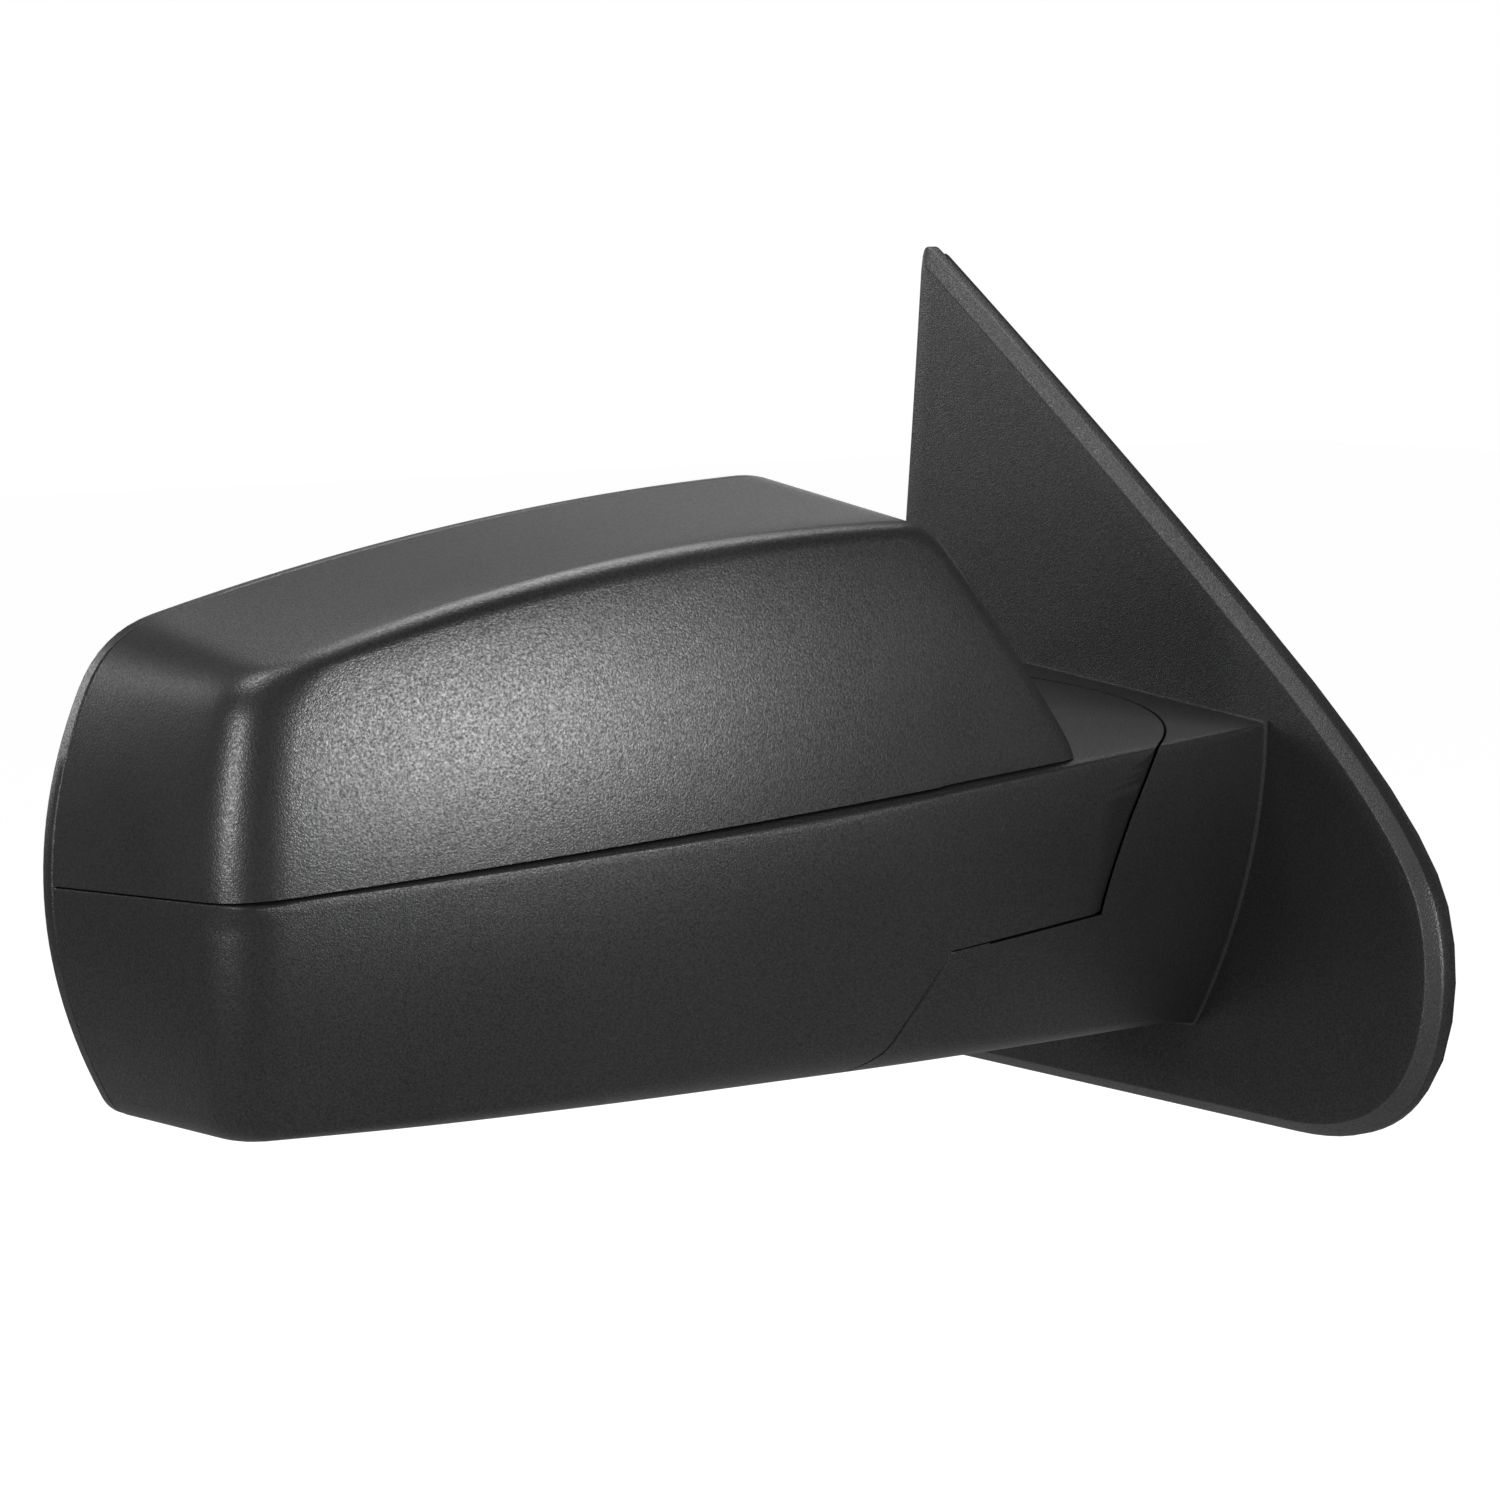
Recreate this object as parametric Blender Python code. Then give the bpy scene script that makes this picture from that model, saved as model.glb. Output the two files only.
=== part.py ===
"""A right-hand power mirror for a pickup door: sail, foot and folding head with a powered glass.

Metres, +Z up. The origin is the mounting face of the gasket, where the mirror meets the door. +X points into
the door, -X outboard, -Y to the front of the car and +Y to the rear, where the glass faces.
"""

import math

import bmesh
import bpy
from mathutils import Matrix, Vector

# Clearances
GAP = 0.0003            # between pieces that lie against each other
PANEL_GAP = 0.0005      # between visible covers
FOLD_GAP = 0.0010       # between the turning head and the foot
RUN_GAP = 0.0003        # radial, between a shaft and its hole

# Door side
GASKET_T = 0.0030       # thickness of the foam pad on the door
GASKET_IN = 0.0015      # how far the pad stays inside the sail's outline
SAIL_T = 0.0110         # from the door to the sail's outer face
SAIL_WALL = 0.0030
SAIL_CHAMFER = 0.0040   # bevel round the sail's outer face: its width, then its depth
SAIL_BEVEL = 0.0035
SAIL_REAR = 0.1166      # rearmost corner of the sail, at its foot
SAIL_BOTTOM = -0.0800
SAIL_TOP_Y, SAIL_TOP_Z = 0.0869, 0.2008      # the sail's tip, before rounding
SAIL_NOSE_Y, SAIL_NOSE_Z = -0.1215, 0.0463   # where its sloping edge ends, before rounding
SAIL_LOW_Y = -0.1433    # where its bottom edge ends, before rounding
SAIL_NOSE_BULGE = 0.0281
SAIL_TIP_CUT, SAIL_NOSE_CUT, SAIL_LOW_CUT, SAIL_HEEL_CUT = 0.0060, 0.0591, 0.0437, 0.0120
BRACKET_PLAY = 0.0004   # between the back plate and the pad
BRACKET_T = SAIL_T - SAIL_WALL - GASKET_T - GAP - BRACKET_PLAY   # die-cast back plate
STUD_R = 0.0030         # M6
STUD_LENGTH = 0.026     # past the door face
STUDS = ((-0.098, 0.020), (0.052, 0.062), (0.040, -0.056))   # Y and Z
GROMMET = (0.0380, 0.0120)   # Y and Z of the wire's way through the door
GROMMET_R = 0.0100

# Head, as seen along Y
HEAD_REAR = 0.0260      # plane where the covers meet the rear bezel
HEAD_TIP = -0.3629      # upper and lower outboard corners of the rim
HEAD_TIP_BULGE = 0.0210
HEAD_BOTTOM = -0.0507
HEAD_TOP = 0.1281       # the rim's top edge, at its inboard end
HEAD_TOP_DROP = 0.0370  # how much lower its outboard end is
HEAD_TOP_BULGE = 0.0072
HEAD_INNER = -0.1167    # inboard corners of the rim: top, middle and bottom
HEAD_INNER_MID_X, HEAD_INNER_MID_Z = -0.1070, 0.0620
HEAD_INNER_LOW = -0.1670
FACE_TIP_IN = 0.0029    # the crease round the front face, measured in from the rim's tip
FACE_TIP = HEAD_TIP + FACE_TIP_IN
FACE_TIP_BULGE = 0.0065
FACE_BOTTOM = -0.0469
FACE_TOP = 0.1185
FACE_TOP_DROP = 0.0370
FACE_TOP_BULGE = 0.0107
FACE_INNER = -0.1380
FACE_INNER_MID_X, FACE_INNER_MID_Z = -0.0870, 0.0460
FACE_INNER_LOW = -0.0750
SEAM_X = HEAD_TIP - HEAD_TIP_BULGE   # the cap's lower edge at its outboard end
SEAM_Z = 0.0190
SEAM_SLOPE = 0.084      # the seam rises towards the door
FRONT_Y = -0.0840       # front face near the door
FRONT_X = -0.0850       # outboard of here the front face sweeps back
TIP_SWEEP = 0.0360      # how far back it has come at the tip
FRONT_SWEEP = TIP_SWEEP / (FACE_TIP - FRONT_X) ** 2
CAP_CROWN = 1.6         # the cap's face leans back above the seam
CAP_WALL = 0.0028
SHOULDER = 0.0024       # how far the lower housing stands proud of the cap at the seam
UNDERCUT = 3.0          # the lower face draws back below the shoulder
HOUSING_WALL = 0.0030
ARM_TOP = 0.0600        # rear edge of the arm's sloping top
ARM_BOTTOM = -0.0535
ARM_CREST_X = -0.1230   # the arm's raised top starts here, inside the cap
ARM_STEP = 0.0240

# Folding joint
FOLD_X, FOLD_Y, FOLD_Z = -0.0950, -0.0220, -0.0080
FOLD_TILT = math.radians(6.0)
HEAD_DRUM = ((0.0, 0.0600), (0.0300, 0.0700), (0.0520, 0.0780), (0.0900, 0.0800))   # height, radius
FOOT_DRUM = ((0.0, 0.0670), (-0.0300, 0.0710), (-0.0420, 0.0770), (-0.0700, 0.0860))
POST_R, POST_BORE = 0.0115, 0.0080
POST_FLANGE = 0.0040
POST_TOP = 0.0520
NECK_R = 0.0214         # hub neck and boss, where they pass the covers
HUB_R = 0.0240
HUB_TOP = 0.0220
BUSH_R = 0.0140
WASHER_R, WASHER_T = 0.0200, 0.0014
SPRING_R, SPRING_WIRE, SPRING_TURNS = 0.0172, 0.0017, 4.5
RETAINER_Z, RETAINER_T, RETAINER_R = 0.0440, 0.0040, 0.0195
BOSS_BOTTOM = -0.0300

# Glass and its drive
GLASS_OFF = 0.0072      # the glass's pivot, outboard of the head's middle
GLASS_X, GLASS_Z = (HEAD_TIP + HEAD_INNER) / 2 - GLASS_OFF, 0.0330
GLASS_RADIUS = 1.400    # convex mirror
GLASS_T = 0.0022
GLASS_Y = 0.0180        # the glass's outer face at its middle
HEATER_T = 0.0006
HOLDER_T = 0.0022
OPENING_INSET = 0.0165  # from the rim to the bezel's opening
GLASS_MARGIN = 0.0035   # round the holder, in the opening
LIP = 0.0011            # the holder's lip round the glass
BEZEL_REAR = 0.0340
BEZEL_TUNNEL = -0.0040  # front end of the bezel's tunnel
BEZEL_WALL = 0.0022
PIVOT_Y = 0.0040
LEVER = 0.0380          # from the pivot to each plunger
RING_R, RING_T, RING_W = 0.0150, 0.0050, 0.0036
PIN_R = 0.0020
HUB_BOSS_R = 0.0088
EAR_Z, EAR_T, EAR_W = 0.0200, 0.0050, 0.0110
BALL_R = 0.0040
SOCKET_PLAY = 0.0009    # round the ball, because the socket swings
SOCKET_WALL = 0.0021
STEM_R, SCREW_R = 0.0025, 0.0045
GEAR_Y, GEAR_W = -0.0210, 0.0060
GEAR_TEETH, GEAR_MODULE = 24, 0.0009
MOTOR_R, MOTOR_LENGTH, MOTOR_END = 0.0086, 0.0240, 0.0012
MOTOR_AHEAD = GEAR_TEETH * GEAR_MODULE / 2 + GEAR_MODULE + 0.0008   # gear's axis to motor's face
MOTOR_OFFSET = LEVER - 0.0134   # the worm's side of the gear
DRIVE_FRONT, DRIVE_REAR = -0.0397, -0.0090   # the actuator's case, along Y
DRIVE_WALL = 0.0020
DRIVE_LONG = LEVER + 0.0140     # case, from the pivot: on the plungers' sides, then on the motors'
DRIVE_SHORT = MOTOR_AHEAD + MOTOR_LENGTH + MOTOR_END + DRIVE_WALL + GAP
BOSS_R = 0.0066         # bosses that guide the plungers
FRAME_T = 0.0040
FRAME_LEFT, FRAME_RIGHT = HEAD_TIP + 0.0379, HEAD_INNER - 0.0433   # the cast plate in the head
FRAME_LOW, FRAME_HIGH = -0.0100, HEAD_TOP - 0.0401
FRAME_SCREWS = (        # X and Z: two into the housing, two into the cap
    (FRAME_LEFT + 0.0100, FRAME_LOW + 0.0060),
    (FRAME_RIGHT - 0.0230, FRAME_LOW + 0.0060),
    (FRAME_LEFT + 0.0180, FRAME_HIGH - 0.0140),
    (FRAME_RIGHT - 0.0230, FRAME_HIGH - 0.0140),
)
SCREW_POST_R, SCREW_PILOT_R, SCREW_PILOT = 0.0042, 0.0018, 0.0066

MATERIALS = {
    "textured_plastic": ((0.045, 0.045, 0.047), 0.62, 0.0),
    "satin_plastic": ((0.035, 0.035, 0.037), 0.50, 0.0),
    "inner_plastic": ((0.055, 0.055, 0.058), 0.55, 0.0),
    "foam": ((0.03, 0.03, 0.03), 0.95, 0.0),
    "cast": ((0.55, 0.56, 0.58), 0.45, 1.0),
    "steel": ((0.60, 0.60, 0.62), 0.30, 1.0),
    "acetal": ((0.85, 0.84, 0.80), 0.40, 0.0),
    "mirror": ((0.80, 0.82, 0.85), 0.05, 1.0),
    "heater": ((0.70, 0.35, 0.12), 0.60, 0.0),
    "rubber": ((0.02, 0.02, 0.02), 0.85, 0.0),
}


# Points on each edge of the outlines, and the length that each corner's rounding takes off both its edges
POD_EDGES = (7, 9, 3, 4, 7)
BEAM_EDGES = (4, 9, 2, 6, 5, 10)
POD_RIM_CUTS = (0.0060, 0.0168, 0.0153, 0.0180, 0.0160)
POD_FACE_CUTS = (0.0079, 0.0100, 0.0100, 0.0060, 0.0060)
BEAM_RIM_CUTS = (0.0060, 0.0006, 0.0040, 0.0060, 0.0010, 0.0010)
BEAM_FACE_CUTS = (0.0099, 0.0006, 0.0040, 0.0060, 0.0010, 0.0010)


# ---------------------------------------------------------------- scene and mesh helpers

def clear_scene():
    for obj in list(bpy.data.objects):
        bpy.data.objects.remove(obj, do_unlink=True)


def material(name):
    made = bpy.data.materials.get(name)
    if made is None:
        colour, roughness, metallic = MATERIALS[name]
        made = bpy.data.materials.new(name)
        made.use_nodes = True
        shader = made.node_tree.nodes["Principled BSDF"]
        shader.inputs["Base Color"].default_value = (*colour, 1.0)
        shader.inputs["Roughness"].default_value = roughness
        shader.inputs["Metallic"].default_value = metallic
        made.diffuse_color = (*colour, 1.0)
    return made


def mesh_object(name, points, faces, finish=None):
    """A new object with its faces turned outwards. Without a finish it is a helper."""
    mesh = bpy.data.meshes.new(name)
    mesh.from_pydata([tuple(p) for p in points], [], faces)
    shape = bmesh.new()
    shape.from_mesh(mesh)
    bmesh.ops.remove_doubles(shape, verts=shape.verts, dist=1e-6)
    bmesh.ops.delete(shape, geom=[e for e in shape.edges if not e.link_faces], context="EDGES")
    bmesh.ops.recalc_face_normals(shape, faces=shape.faces)
    bent = []
    for face in shape.faces:
        centre = face.calc_center_median()
        if max(abs((v.co - centre).dot(face.normal)) for v in face.verts) > 1e-7:
            bent.append(face)
    bmesh.ops.triangulate(shape, faces=bent)
    shape.to_mesh(mesh)
    shape.free()
    obj = bpy.data.objects.new(name, mesh)
    bpy.context.scene.collection.objects.link(obj)
    if finish is None:
        obj.hide_render = True
        obj.display_type = "WIRE"
    else:
        mesh.materials.append(material(finish))
        mesh.shade_smooth()
        mesh.set_sharp_from_angle(angle=math.radians(32))
    return obj


def combine(target, other, operation):
    step = target.modifiers.new(f"{operation.lower()}_{other.name}", "BOOLEAN")
    step.operation = operation
    step.solver = "EXACT"
    step.object = other


def cut(target, *others):
    for other in others:
        combine(target, other, "DIFFERENCE")


def keep(target, *others):
    for other in others:
        combine(target, other, "INTERSECT")


def join(target, *others):
    for other in others:
        other.hide_render = True
        other.display_type = "WIRE"
        combine(target, other, "UNION")


def ring_faces(count, rings):
    """Quads between consecutive rings of count points."""
    faces = []
    for row in range(rings - 1):
        for i in range(count):
            j = (i + 1) % count
            faces.append((row * count + i, row * count + j, (row + 1) * count + j, (row + 1) * count + i))
    return faces


def loft(name, rings, finish=None):
    """A closed solid through rings of matching points, with a flat end at the first and the last."""
    count = len(rings[0])
    points = [p for ring in rings for p in ring]
    faces = ring_faces(count, len(rings))
    faces.append(tuple(range(count)))
    faces.append(tuple(range(len(points) - count, len(points))))
    return mesh_object(name, points, faces, finish)


def band(name, rings, finish=None):
    """A closed ring-shaped solid: the last ring of points joins the first again."""
    return loft_closed(name, rings + [rings[0]], finish)


def loft_closed(name, rings, finish):
    count = len(rings[0])
    return mesh_object(name, [p for ring in rings for p in ring], ring_faces(count, len(rings)), finish)


def revolve(name, profile, place, finish=None, steps=24):
    """Turns (radius, height) points about the local Z of place. A profile off the axis makes a tube."""
    turns = [2 * math.pi * (k + 0.5) / steps for k in range(steps)]

    def spot(radius, height, turn):
        return place @ Vector((radius * math.cos(turn), radius * math.sin(turn), height))

    if profile[0][0] == 0:
        return loft(name, [[spot(r, h, turn) for turn in turns] for r, h in profile[1:-1]], finish)
    return band(name, [[spot(r, h, turn) for r, h in profile] for turn in turns], finish)


def along(start, direction):
    """The placement whose local Z runs from start along direction."""
    return Matrix.Translation(start) @ Vector(direction).to_track_quat("Z", "Y").to_matrix().to_4x4()


def box(name, low, high, place=Matrix.Identity(4), finish=None):
    corners = [(x, y, z) for x in (low[0], high[0]) for y in (low[1], high[1]) for z in (low[2], high[2])]
    faces = [(0, 1, 3, 2), (4, 6, 7, 5), (0, 4, 5, 1), (2, 3, 7, 6), (0, 2, 6, 4), (1, 5, 7, 3)]
    return mesh_object(name, [place @ Vector(c) for c in corners], faces, finish)


def prism(name, outline_points, low, high, axis, finish=None):
    """An outline of (a, b) points extruded along axis: X takes (y, z) and Y takes (x, z)."""
    def point(a, b, depth):
        return Vector((depth, a, b)) if axis == "X" else Vector((a, depth, b))

    return loft(name, [[point(a, b, d) for a, b in outline_points] for d in (low, high)], finish)


# ---------------------------------------------------------------- outlines

def line(start, end):
    return lambda t: (start[0] + (end[0] - start[0]) * t, start[1] + (end[1] - start[1]) * t)


def tangent(edge, t):
    step = 1e-3
    a, b = edge(max(t - step, 0.0)), edge(min(t + step, 1.0))
    length = math.hypot(b[0] - a[0], b[1] - a[1])
    return (b[0] - a[0]) / length, (b[1] - a[1]) / length


def meeting_point(p, d, q, e):
    """Where the line from p along d meets the line from q along e."""
    cross = d[0] * e[1] - d[1] * e[0]
    if abs(cross) < 1e-6:
        return (p[0] + q[0]) / 2, (p[1] + q[1]) / 2
    reach = ((q[0] - p[0]) * e[1] - (q[1] - p[1]) * e[0]) / cross
    return p[0] + d[0] * reach, p[1] + d[1] * reach


def outline(edges, cuts, edge_points, corner_points=4):
    """A closed outline of edges, each a function of 0 to 1.

    cuts[k] is how much of its two edges the corner at the start of edge k rounds off.
    """
    spans = []
    for k, edge in enumerate(edges):
        steps = [edge(i / 8) for i in range(9)]
        length = sum(math.dist(a, b) for a, b in zip(steps, steps[1:]))
        spans.append((cuts[k] / length, 1 - cuts[(k + 1) % len(edges)] / length))
    points = []
    for k, edge in enumerate(edges):
        before, (first, last) = edges[k - 1], spans[k]
        ended = spans[k - 1][1]
        p, q = before(ended), edge(first)
        bend = meeting_point(p, tangent(before, ended), q, tangent(edge, first))
        for i in range(1, corner_points):
            t = i / corner_points
            weights = ((1 - t) ** 2, 2 * t * (1 - t), t * t)
            points.append(tuple(sum(w * c[n] for w, c in zip(weights, (p, bend, q))) for n in (0, 1)))
        for i in range(edge_points[k] + 1):
            points.append(edge(first + (last - first) * i / edge_points[k]))
    return points


def arc(start, end, bulge):
    """A shallow curve from start to end that swells by bulge on the left-hand side of the way."""
    dx, dz = end[0] - start[0], end[1] - start[1]
    length = math.hypot(dx, dz)

    def edge(t):
        swell = 4 * bulge * t * (1 - t) / length
        return start[0] + dx * t - dz * swell, start[1] + dz * t + dx * swell

    return edge


def rounded(corners, bulges, cuts, distances, edge_points, corner_points=4):
    """The rounded outline of clockwise corners, each edge first moved inwards by its distance."""
    count = len(corners)
    lines = []
    for k in range(count):
        a, b = corners[k], corners[(k + 1) % count]
        length = math.dist(a, b)
        d = ((b[0] - a[0]) / length, (b[1] - a[1]) / length)
        lines.append(((a[0] + d[1] * distances[k], a[1] - d[0] * distances[k]), d))
    moved = [meeting_point(*lines[k - 1], *lines[k]) for k in range(count)]
    edges = [arc(moved[k], moved[(k + 1) % count], bulges[k]) for k in range(count)]
    less = max(distances)
    trims = [max(cut - 0.6 * less, min(cut, 0.003)) if less > 0 else cut - less for cut in cuts]
    return outline(edges, trims, edge_points, corner_points)


def seam_height(x):
    return SEAM_Z + SEAM_SLOPE * (x - SEAM_X)


def front_depth(x):
    return FRONT_Y + FRONT_SWEEP * min(0.0, x - FRONT_X) ** 2


def cap_face(x, z):
    return front_depth(x) + CAP_CROWN * max(0.0, z - seam_height(x)) ** 2


def housing_face(x, z):
    proud = SHOULDER * min(1.0, max(0.0, (x - FACE_TIP) / 0.060))
    return front_depth(x) - proud + UNDERCUT * max(0.0, seam_height(x) - z) ** 2


def head_outline(distance):
    """The head's rear rim, moved inwards by distance, clockwise from its lower outboard corner."""
    corners = (
        (HEAD_TIP, HEAD_BOTTOM),
        (HEAD_TIP, HEAD_TOP - HEAD_TOP_DROP),
        (HEAD_INNER, HEAD_TOP),
        (HEAD_INNER_MID_X, HEAD_INNER_MID_Z),
        (HEAD_INNER_LOW, HEAD_BOTTOM),
    )
    bulges = (HEAD_TIP_BULGE, HEAD_TOP_BULGE, 0.0, 0.0, 0.0)
    cuts = [max(cut, 1.4 * distance) for cut in POD_RIM_CUTS]
    return rounded(corners, bulges, cuts, (distance,) * 5, POD_EDGES)


def face_outline(distance):
    """The crease round the cap's front face, continued below the seam."""
    corners = (
        (FACE_TIP, FACE_BOTTOM),
        (FACE_TIP, FACE_TOP - FACE_TOP_DROP),
        (FACE_INNER, FACE_TOP),
        (FACE_INNER_MID_X, FACE_INNER_MID_Z),
        (FACE_INNER_LOW, FACE_BOTTOM),
    )
    bulges = (FACE_TIP_BULGE, FACE_TOP_BULGE, 0.0, 0.0, 0.0)
    return rounded(corners, bulges, POD_FACE_CUTS, (distance,) * 5, POD_EDGES)


def tip_point(corner, top, bulge):
    """Where the outboard edge crosses the seam, and the bulge of the stretch below it."""
    low = HEAD_BOTTOM if corner == HEAD_TIP else FACE_BOTTOM
    share = (seam_height(corner - bulge) - low) / (top - low)
    return corner - 4 * bulge * share * (1 - share), low + (top - low) * share, bulge * share * share


def beam_rim(distance, door):
    """The rear edge of the lower housing and foot: one form from the outboard tip to the sail."""
    x, z, bulge = tip_point(HEAD_TIP, HEAD_TOP - HEAD_TOP_DROP, HEAD_TIP_BULGE)
    step = ARM_CREST_X - ARM_STEP
    corners = (
        (HEAD_TIP, HEAD_BOTTOM),
        (x, z),
        (step, seam_height(step)),
        (ARM_CREST_X, ARM_TOP),
        (door, ARM_TOP),
        (door, ARM_BOTTOM),
    )
    distances = (distance,) * 4 + (0.0, distance)
    return rounded(corners, (bulge, 0, 0, 0, 0, 0), BEAM_RIM_CUTS, distances, BEAM_EDGES)


def beam_crease(distance, door):
    """The front crease of the same form: its top edge is the shoulder just below the cap."""
    x, z, bulge = tip_point(FACE_TIP, FACE_TOP - FACE_TOP_DROP, FACE_TIP_BULGE)
    step = ARM_CREST_X - ARM_STEP
    corners = (
        (FACE_TIP, FACE_BOTTOM - 0.004),
        (x, z),
        (step, seam_height(step)),
        (ARM_CREST_X, seam_height(ARM_CREST_X)),
        (door, seam_height(door)),
        (door, FACE_BOTTOM - 0.004),
    )
    distances = (distance,) * 4 + (0.0, distance)
    return rounded(corners, (bulge, 0, 0, 0, 0, 0), BEAM_FACE_CUTS, distances, BEAM_EDGES)


# ---------------------------------------------------------------- the pillow form of the covers

def pod_rounding(x, z):
    if z < -0.020:
        return 0.018
    return 0.0065 + 0.0085 * min(1.0, max(0.0, (FACE_TIP + 0.020 - x) / 0.020))


def beam_rounding(x, z):
    if x > -SAIL_T - 0.004:
        return 0.0012
    if z > seam_height(x) - 0.004:
        return 0.0045 + 0.004 * min(1.0, max(0.0, (FACE_TIP + 0.010 - x) / 0.012))
    return 0.015


def pillow_rings(rim, crease, rear, depth_at, rounding, behind=0.0):
    """Rings from the rear rim forwards over the crease to the middle of the front face.

    The walls can start some way behind the rim.
    """
    wall_rings, round_rings, face_rings = 2, 4, 3
    centre = Vector((sum(p[0] for p in crease) / len(crease), sum(p[1] for p in crease) / len(crease)))
    rings = [[] for _ in range(wall_rings + round_rings + face_rings)]
    for (rx, rz), (cx, cz) in zip(rim, crease):
        back = Vector((rx, rear, rz))
        edge = Vector((cx, depth_at(cx, cz), cz))
        size = rounding(cx, cz)
        back += (back - edge) * (behind / (rear - edge.y))
        inward = centre - Vector((cx, cz))
        share = min(0.45, size / inward.length)
        near = Vector((cx, cz)) + inward * share
        first = edge + (back - edge).normalized() * size
        last = Vector((near.x, depth_at(near.x, near.y), near.y))
        for i in range(wall_rings):
            rings[i].append(back.lerp(first, i / wall_rings))
        for i in range(round_rings):
            t = i / (round_rings - 1)
            rings[wall_rings + i].append(first * (1 - t) ** 2 + edge * 2 * t * (1 - t) + last * t * t)
        for i in range(face_rings):
            spot = Vector((near.x, near.y)).lerp(centre, 0.94 * (i + 1) / face_rings)
            rings[wall_rings + round_rings + i].append(Vector((spot.x, depth_at(spot.x, spot.y), spot.y)))
    return rings


def pod_form(name, shrink=0.0, finish=None):
    """The cap's form, carried on below the seam. A hollow runs out behind the rim."""
    def face(x, z):
        return cap_face(x, z) + shrink

    behind = 0.010 if shrink > 0 else 0.0
    rim, crease = head_outline(shrink), face_outline(shrink)
    return loft(name, pillow_rings(rim, crease, HEAD_REAR, face, pod_rounding, behind), finish)


def beam_form(name, shrink=0.0, finish=None):
    """The lower form. A hollow stops short of its rear face and runs on through the sail."""
    def face(x, z):
        return housing_face(x, z) + shrink

    door = -SAIL_T + (0.006 if shrink > 0 else 0.0015)
    rim, crease = beam_rim(shrink, door), beam_crease(shrink, door)
    return loft(name, pillow_rings(rim, crease, HEAD_REAR - shrink, face, beam_rounding), finish)


# ---------------------------------------------------------------- the folding joint's shapes

FOLD = Matrix.Translation((FOLD_X, FOLD_Y, FOLD_Z)) @ Matrix.Rotation(-FOLD_TILT, 4, "Y")


def drum(name, profile, grow, base, steps=48):
    """The turned solid that a cover sweeps about the fold axis, from height base to the profile's end."""
    rows = [(0.0, base)] + [(r + grow, base if k == 0 else h) for k, (h, r) in enumerate(profile)]
    rows.append((0.0, profile[-1][0]))
    return revolve(name, rows, FOLD, steps=steps)


def keep_head(target, shrink):
    """Keeps what turns: everything outboard of the axis and the head's own drum, but not the foot's."""
    name = f"{target.name}_head"
    zone = box(f"{name}_zone", (-0.420, -0.200, -0.120), (-shrink, 0.200, 0.200), FOLD)
    join(zone, drum(f"{name}_drum", HEAD_DRUM, -FOLD_GAP / 2 - shrink, 0.0))
    keep(target, zone)
    cut(target, drum(f"{name}_foot_room", FOOT_DRUM, FOLD_GAP / 2 + shrink, FOLD_GAP / 2 + shrink))


def keep_foot(target, shrink):
    """Keeps what stays: everything on the door's side of the axis and the foot's drum."""
    name = f"{target.name}_foot"
    zone = box(f"{name}_zone", (shrink, -0.200, -0.120), (0.120, 0.200, 0.200), FOLD)
    join(zone, drum(f"{name}_drum", FOOT_DRUM, -FOLD_GAP / 2 - shrink, 0.0))
    keep(target, zone)
    cut(target, drum(f"{name}_head_room", HEAD_DRUM, FOLD_GAP / 2 + shrink, -FOLD_GAP / 2 - shrink))


# ---------------------------------------------------------------- base

def cylinder(name, start, direction, radius, length, finish=None, steps=20):
    rows = [(0, 0), (radius, 0), (radius, length), (0, length)]
    return revolve(name, rows, along(start, direction), finish, steps)


def tube(name, start, direction, bore, radius, length, finish=None, steps=20):
    rows = [(bore, 0), (radius, 0), (radius, length), (bore, length)]
    return revolve(name, rows, along(start, direction), finish, steps)


def fold_turned(name, profile, finish=None, steps=32):
    """A solid turned about the fold axis, from (radius, height) points."""
    return revolve(name, profile, FOLD, finish, steps)


def sail_outline(distance):
    """The sail as seen along X, moved inwards by distance, clockwise from its rear lower corner."""
    corners = (
        (SAIL_REAR, SAIL_BOTTOM),
        (SAIL_LOW_Y, SAIL_BOTTOM),
        (SAIL_NOSE_Y, SAIL_NOSE_Z),
        (SAIL_TOP_Y, SAIL_TOP_Z),
    )
    bulges = (0.0, SAIL_NOSE_BULGE, 0.0017, -0.0018)
    cuts = (SAIL_HEEL_CUT, SAIL_LOW_CUT, SAIL_NOSE_CUT, SAIL_TIP_CUT)
    return rounded(corners, bulges, cuts, (distance,) * 4, (5, 3, 8, 6), 6)


def sail_solid(name, layers, finish=None):
    """A stack of sail outlines, each an X and a distance inwards."""
    return loft(name, [[(x, y, z) for y, z in sail_outline(d)] for x, d in layers], finish)


def foot_cover():
    outer = -SAIL_T
    side = outer + SAIL_BEVEL
    back = -GASKET_T - GAP
    cover = sail_solid(
        "foot_cover", ((back, 0.0), (side, 0.0), (outer, SAIL_CHAMFER)), "satin_plastic")
    foot = beam_form("foot_form")
    keep_foot(foot, 0.0)
    join(cover, foot)
    cut(cover, sail_solid("sail_hollow", ((0.001, SAIL_WALL), (outer + SAIL_WALL, SAIL_WALL))))
    hollow = beam_form("foot_hollow", HOUSING_WALL)
    keep_foot(hollow, HOUSING_WALL)
    cut(cover, hollow)
    neck = NECK_R + 2 * GAP
    cut(cover, fold_turned("foot_neck_hole", [(0, -0.012), (neck, -0.012), (neck, 0.004), (0, 0.004)]))
    return cover


def door_holes(target, stud_hole_r):
    """Cuts the way through for the studs and for the wire's grommet."""
    for k, (y, z) in enumerate(STUDS):
        name = f"{target.name}_stud_hole_{k + 1}"
        cut(target, cylinder(name, (-0.03, y, z), (1, 0, 0), stud_hole_r, 0.05, steps=12))
    name = f"{target.name}_wire_hole"
    cut(target, cylinder(name, (-0.03, *GROMMET), (1, 0, 0), GROMMET_R + RUN_GAP, 0.05))


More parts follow.
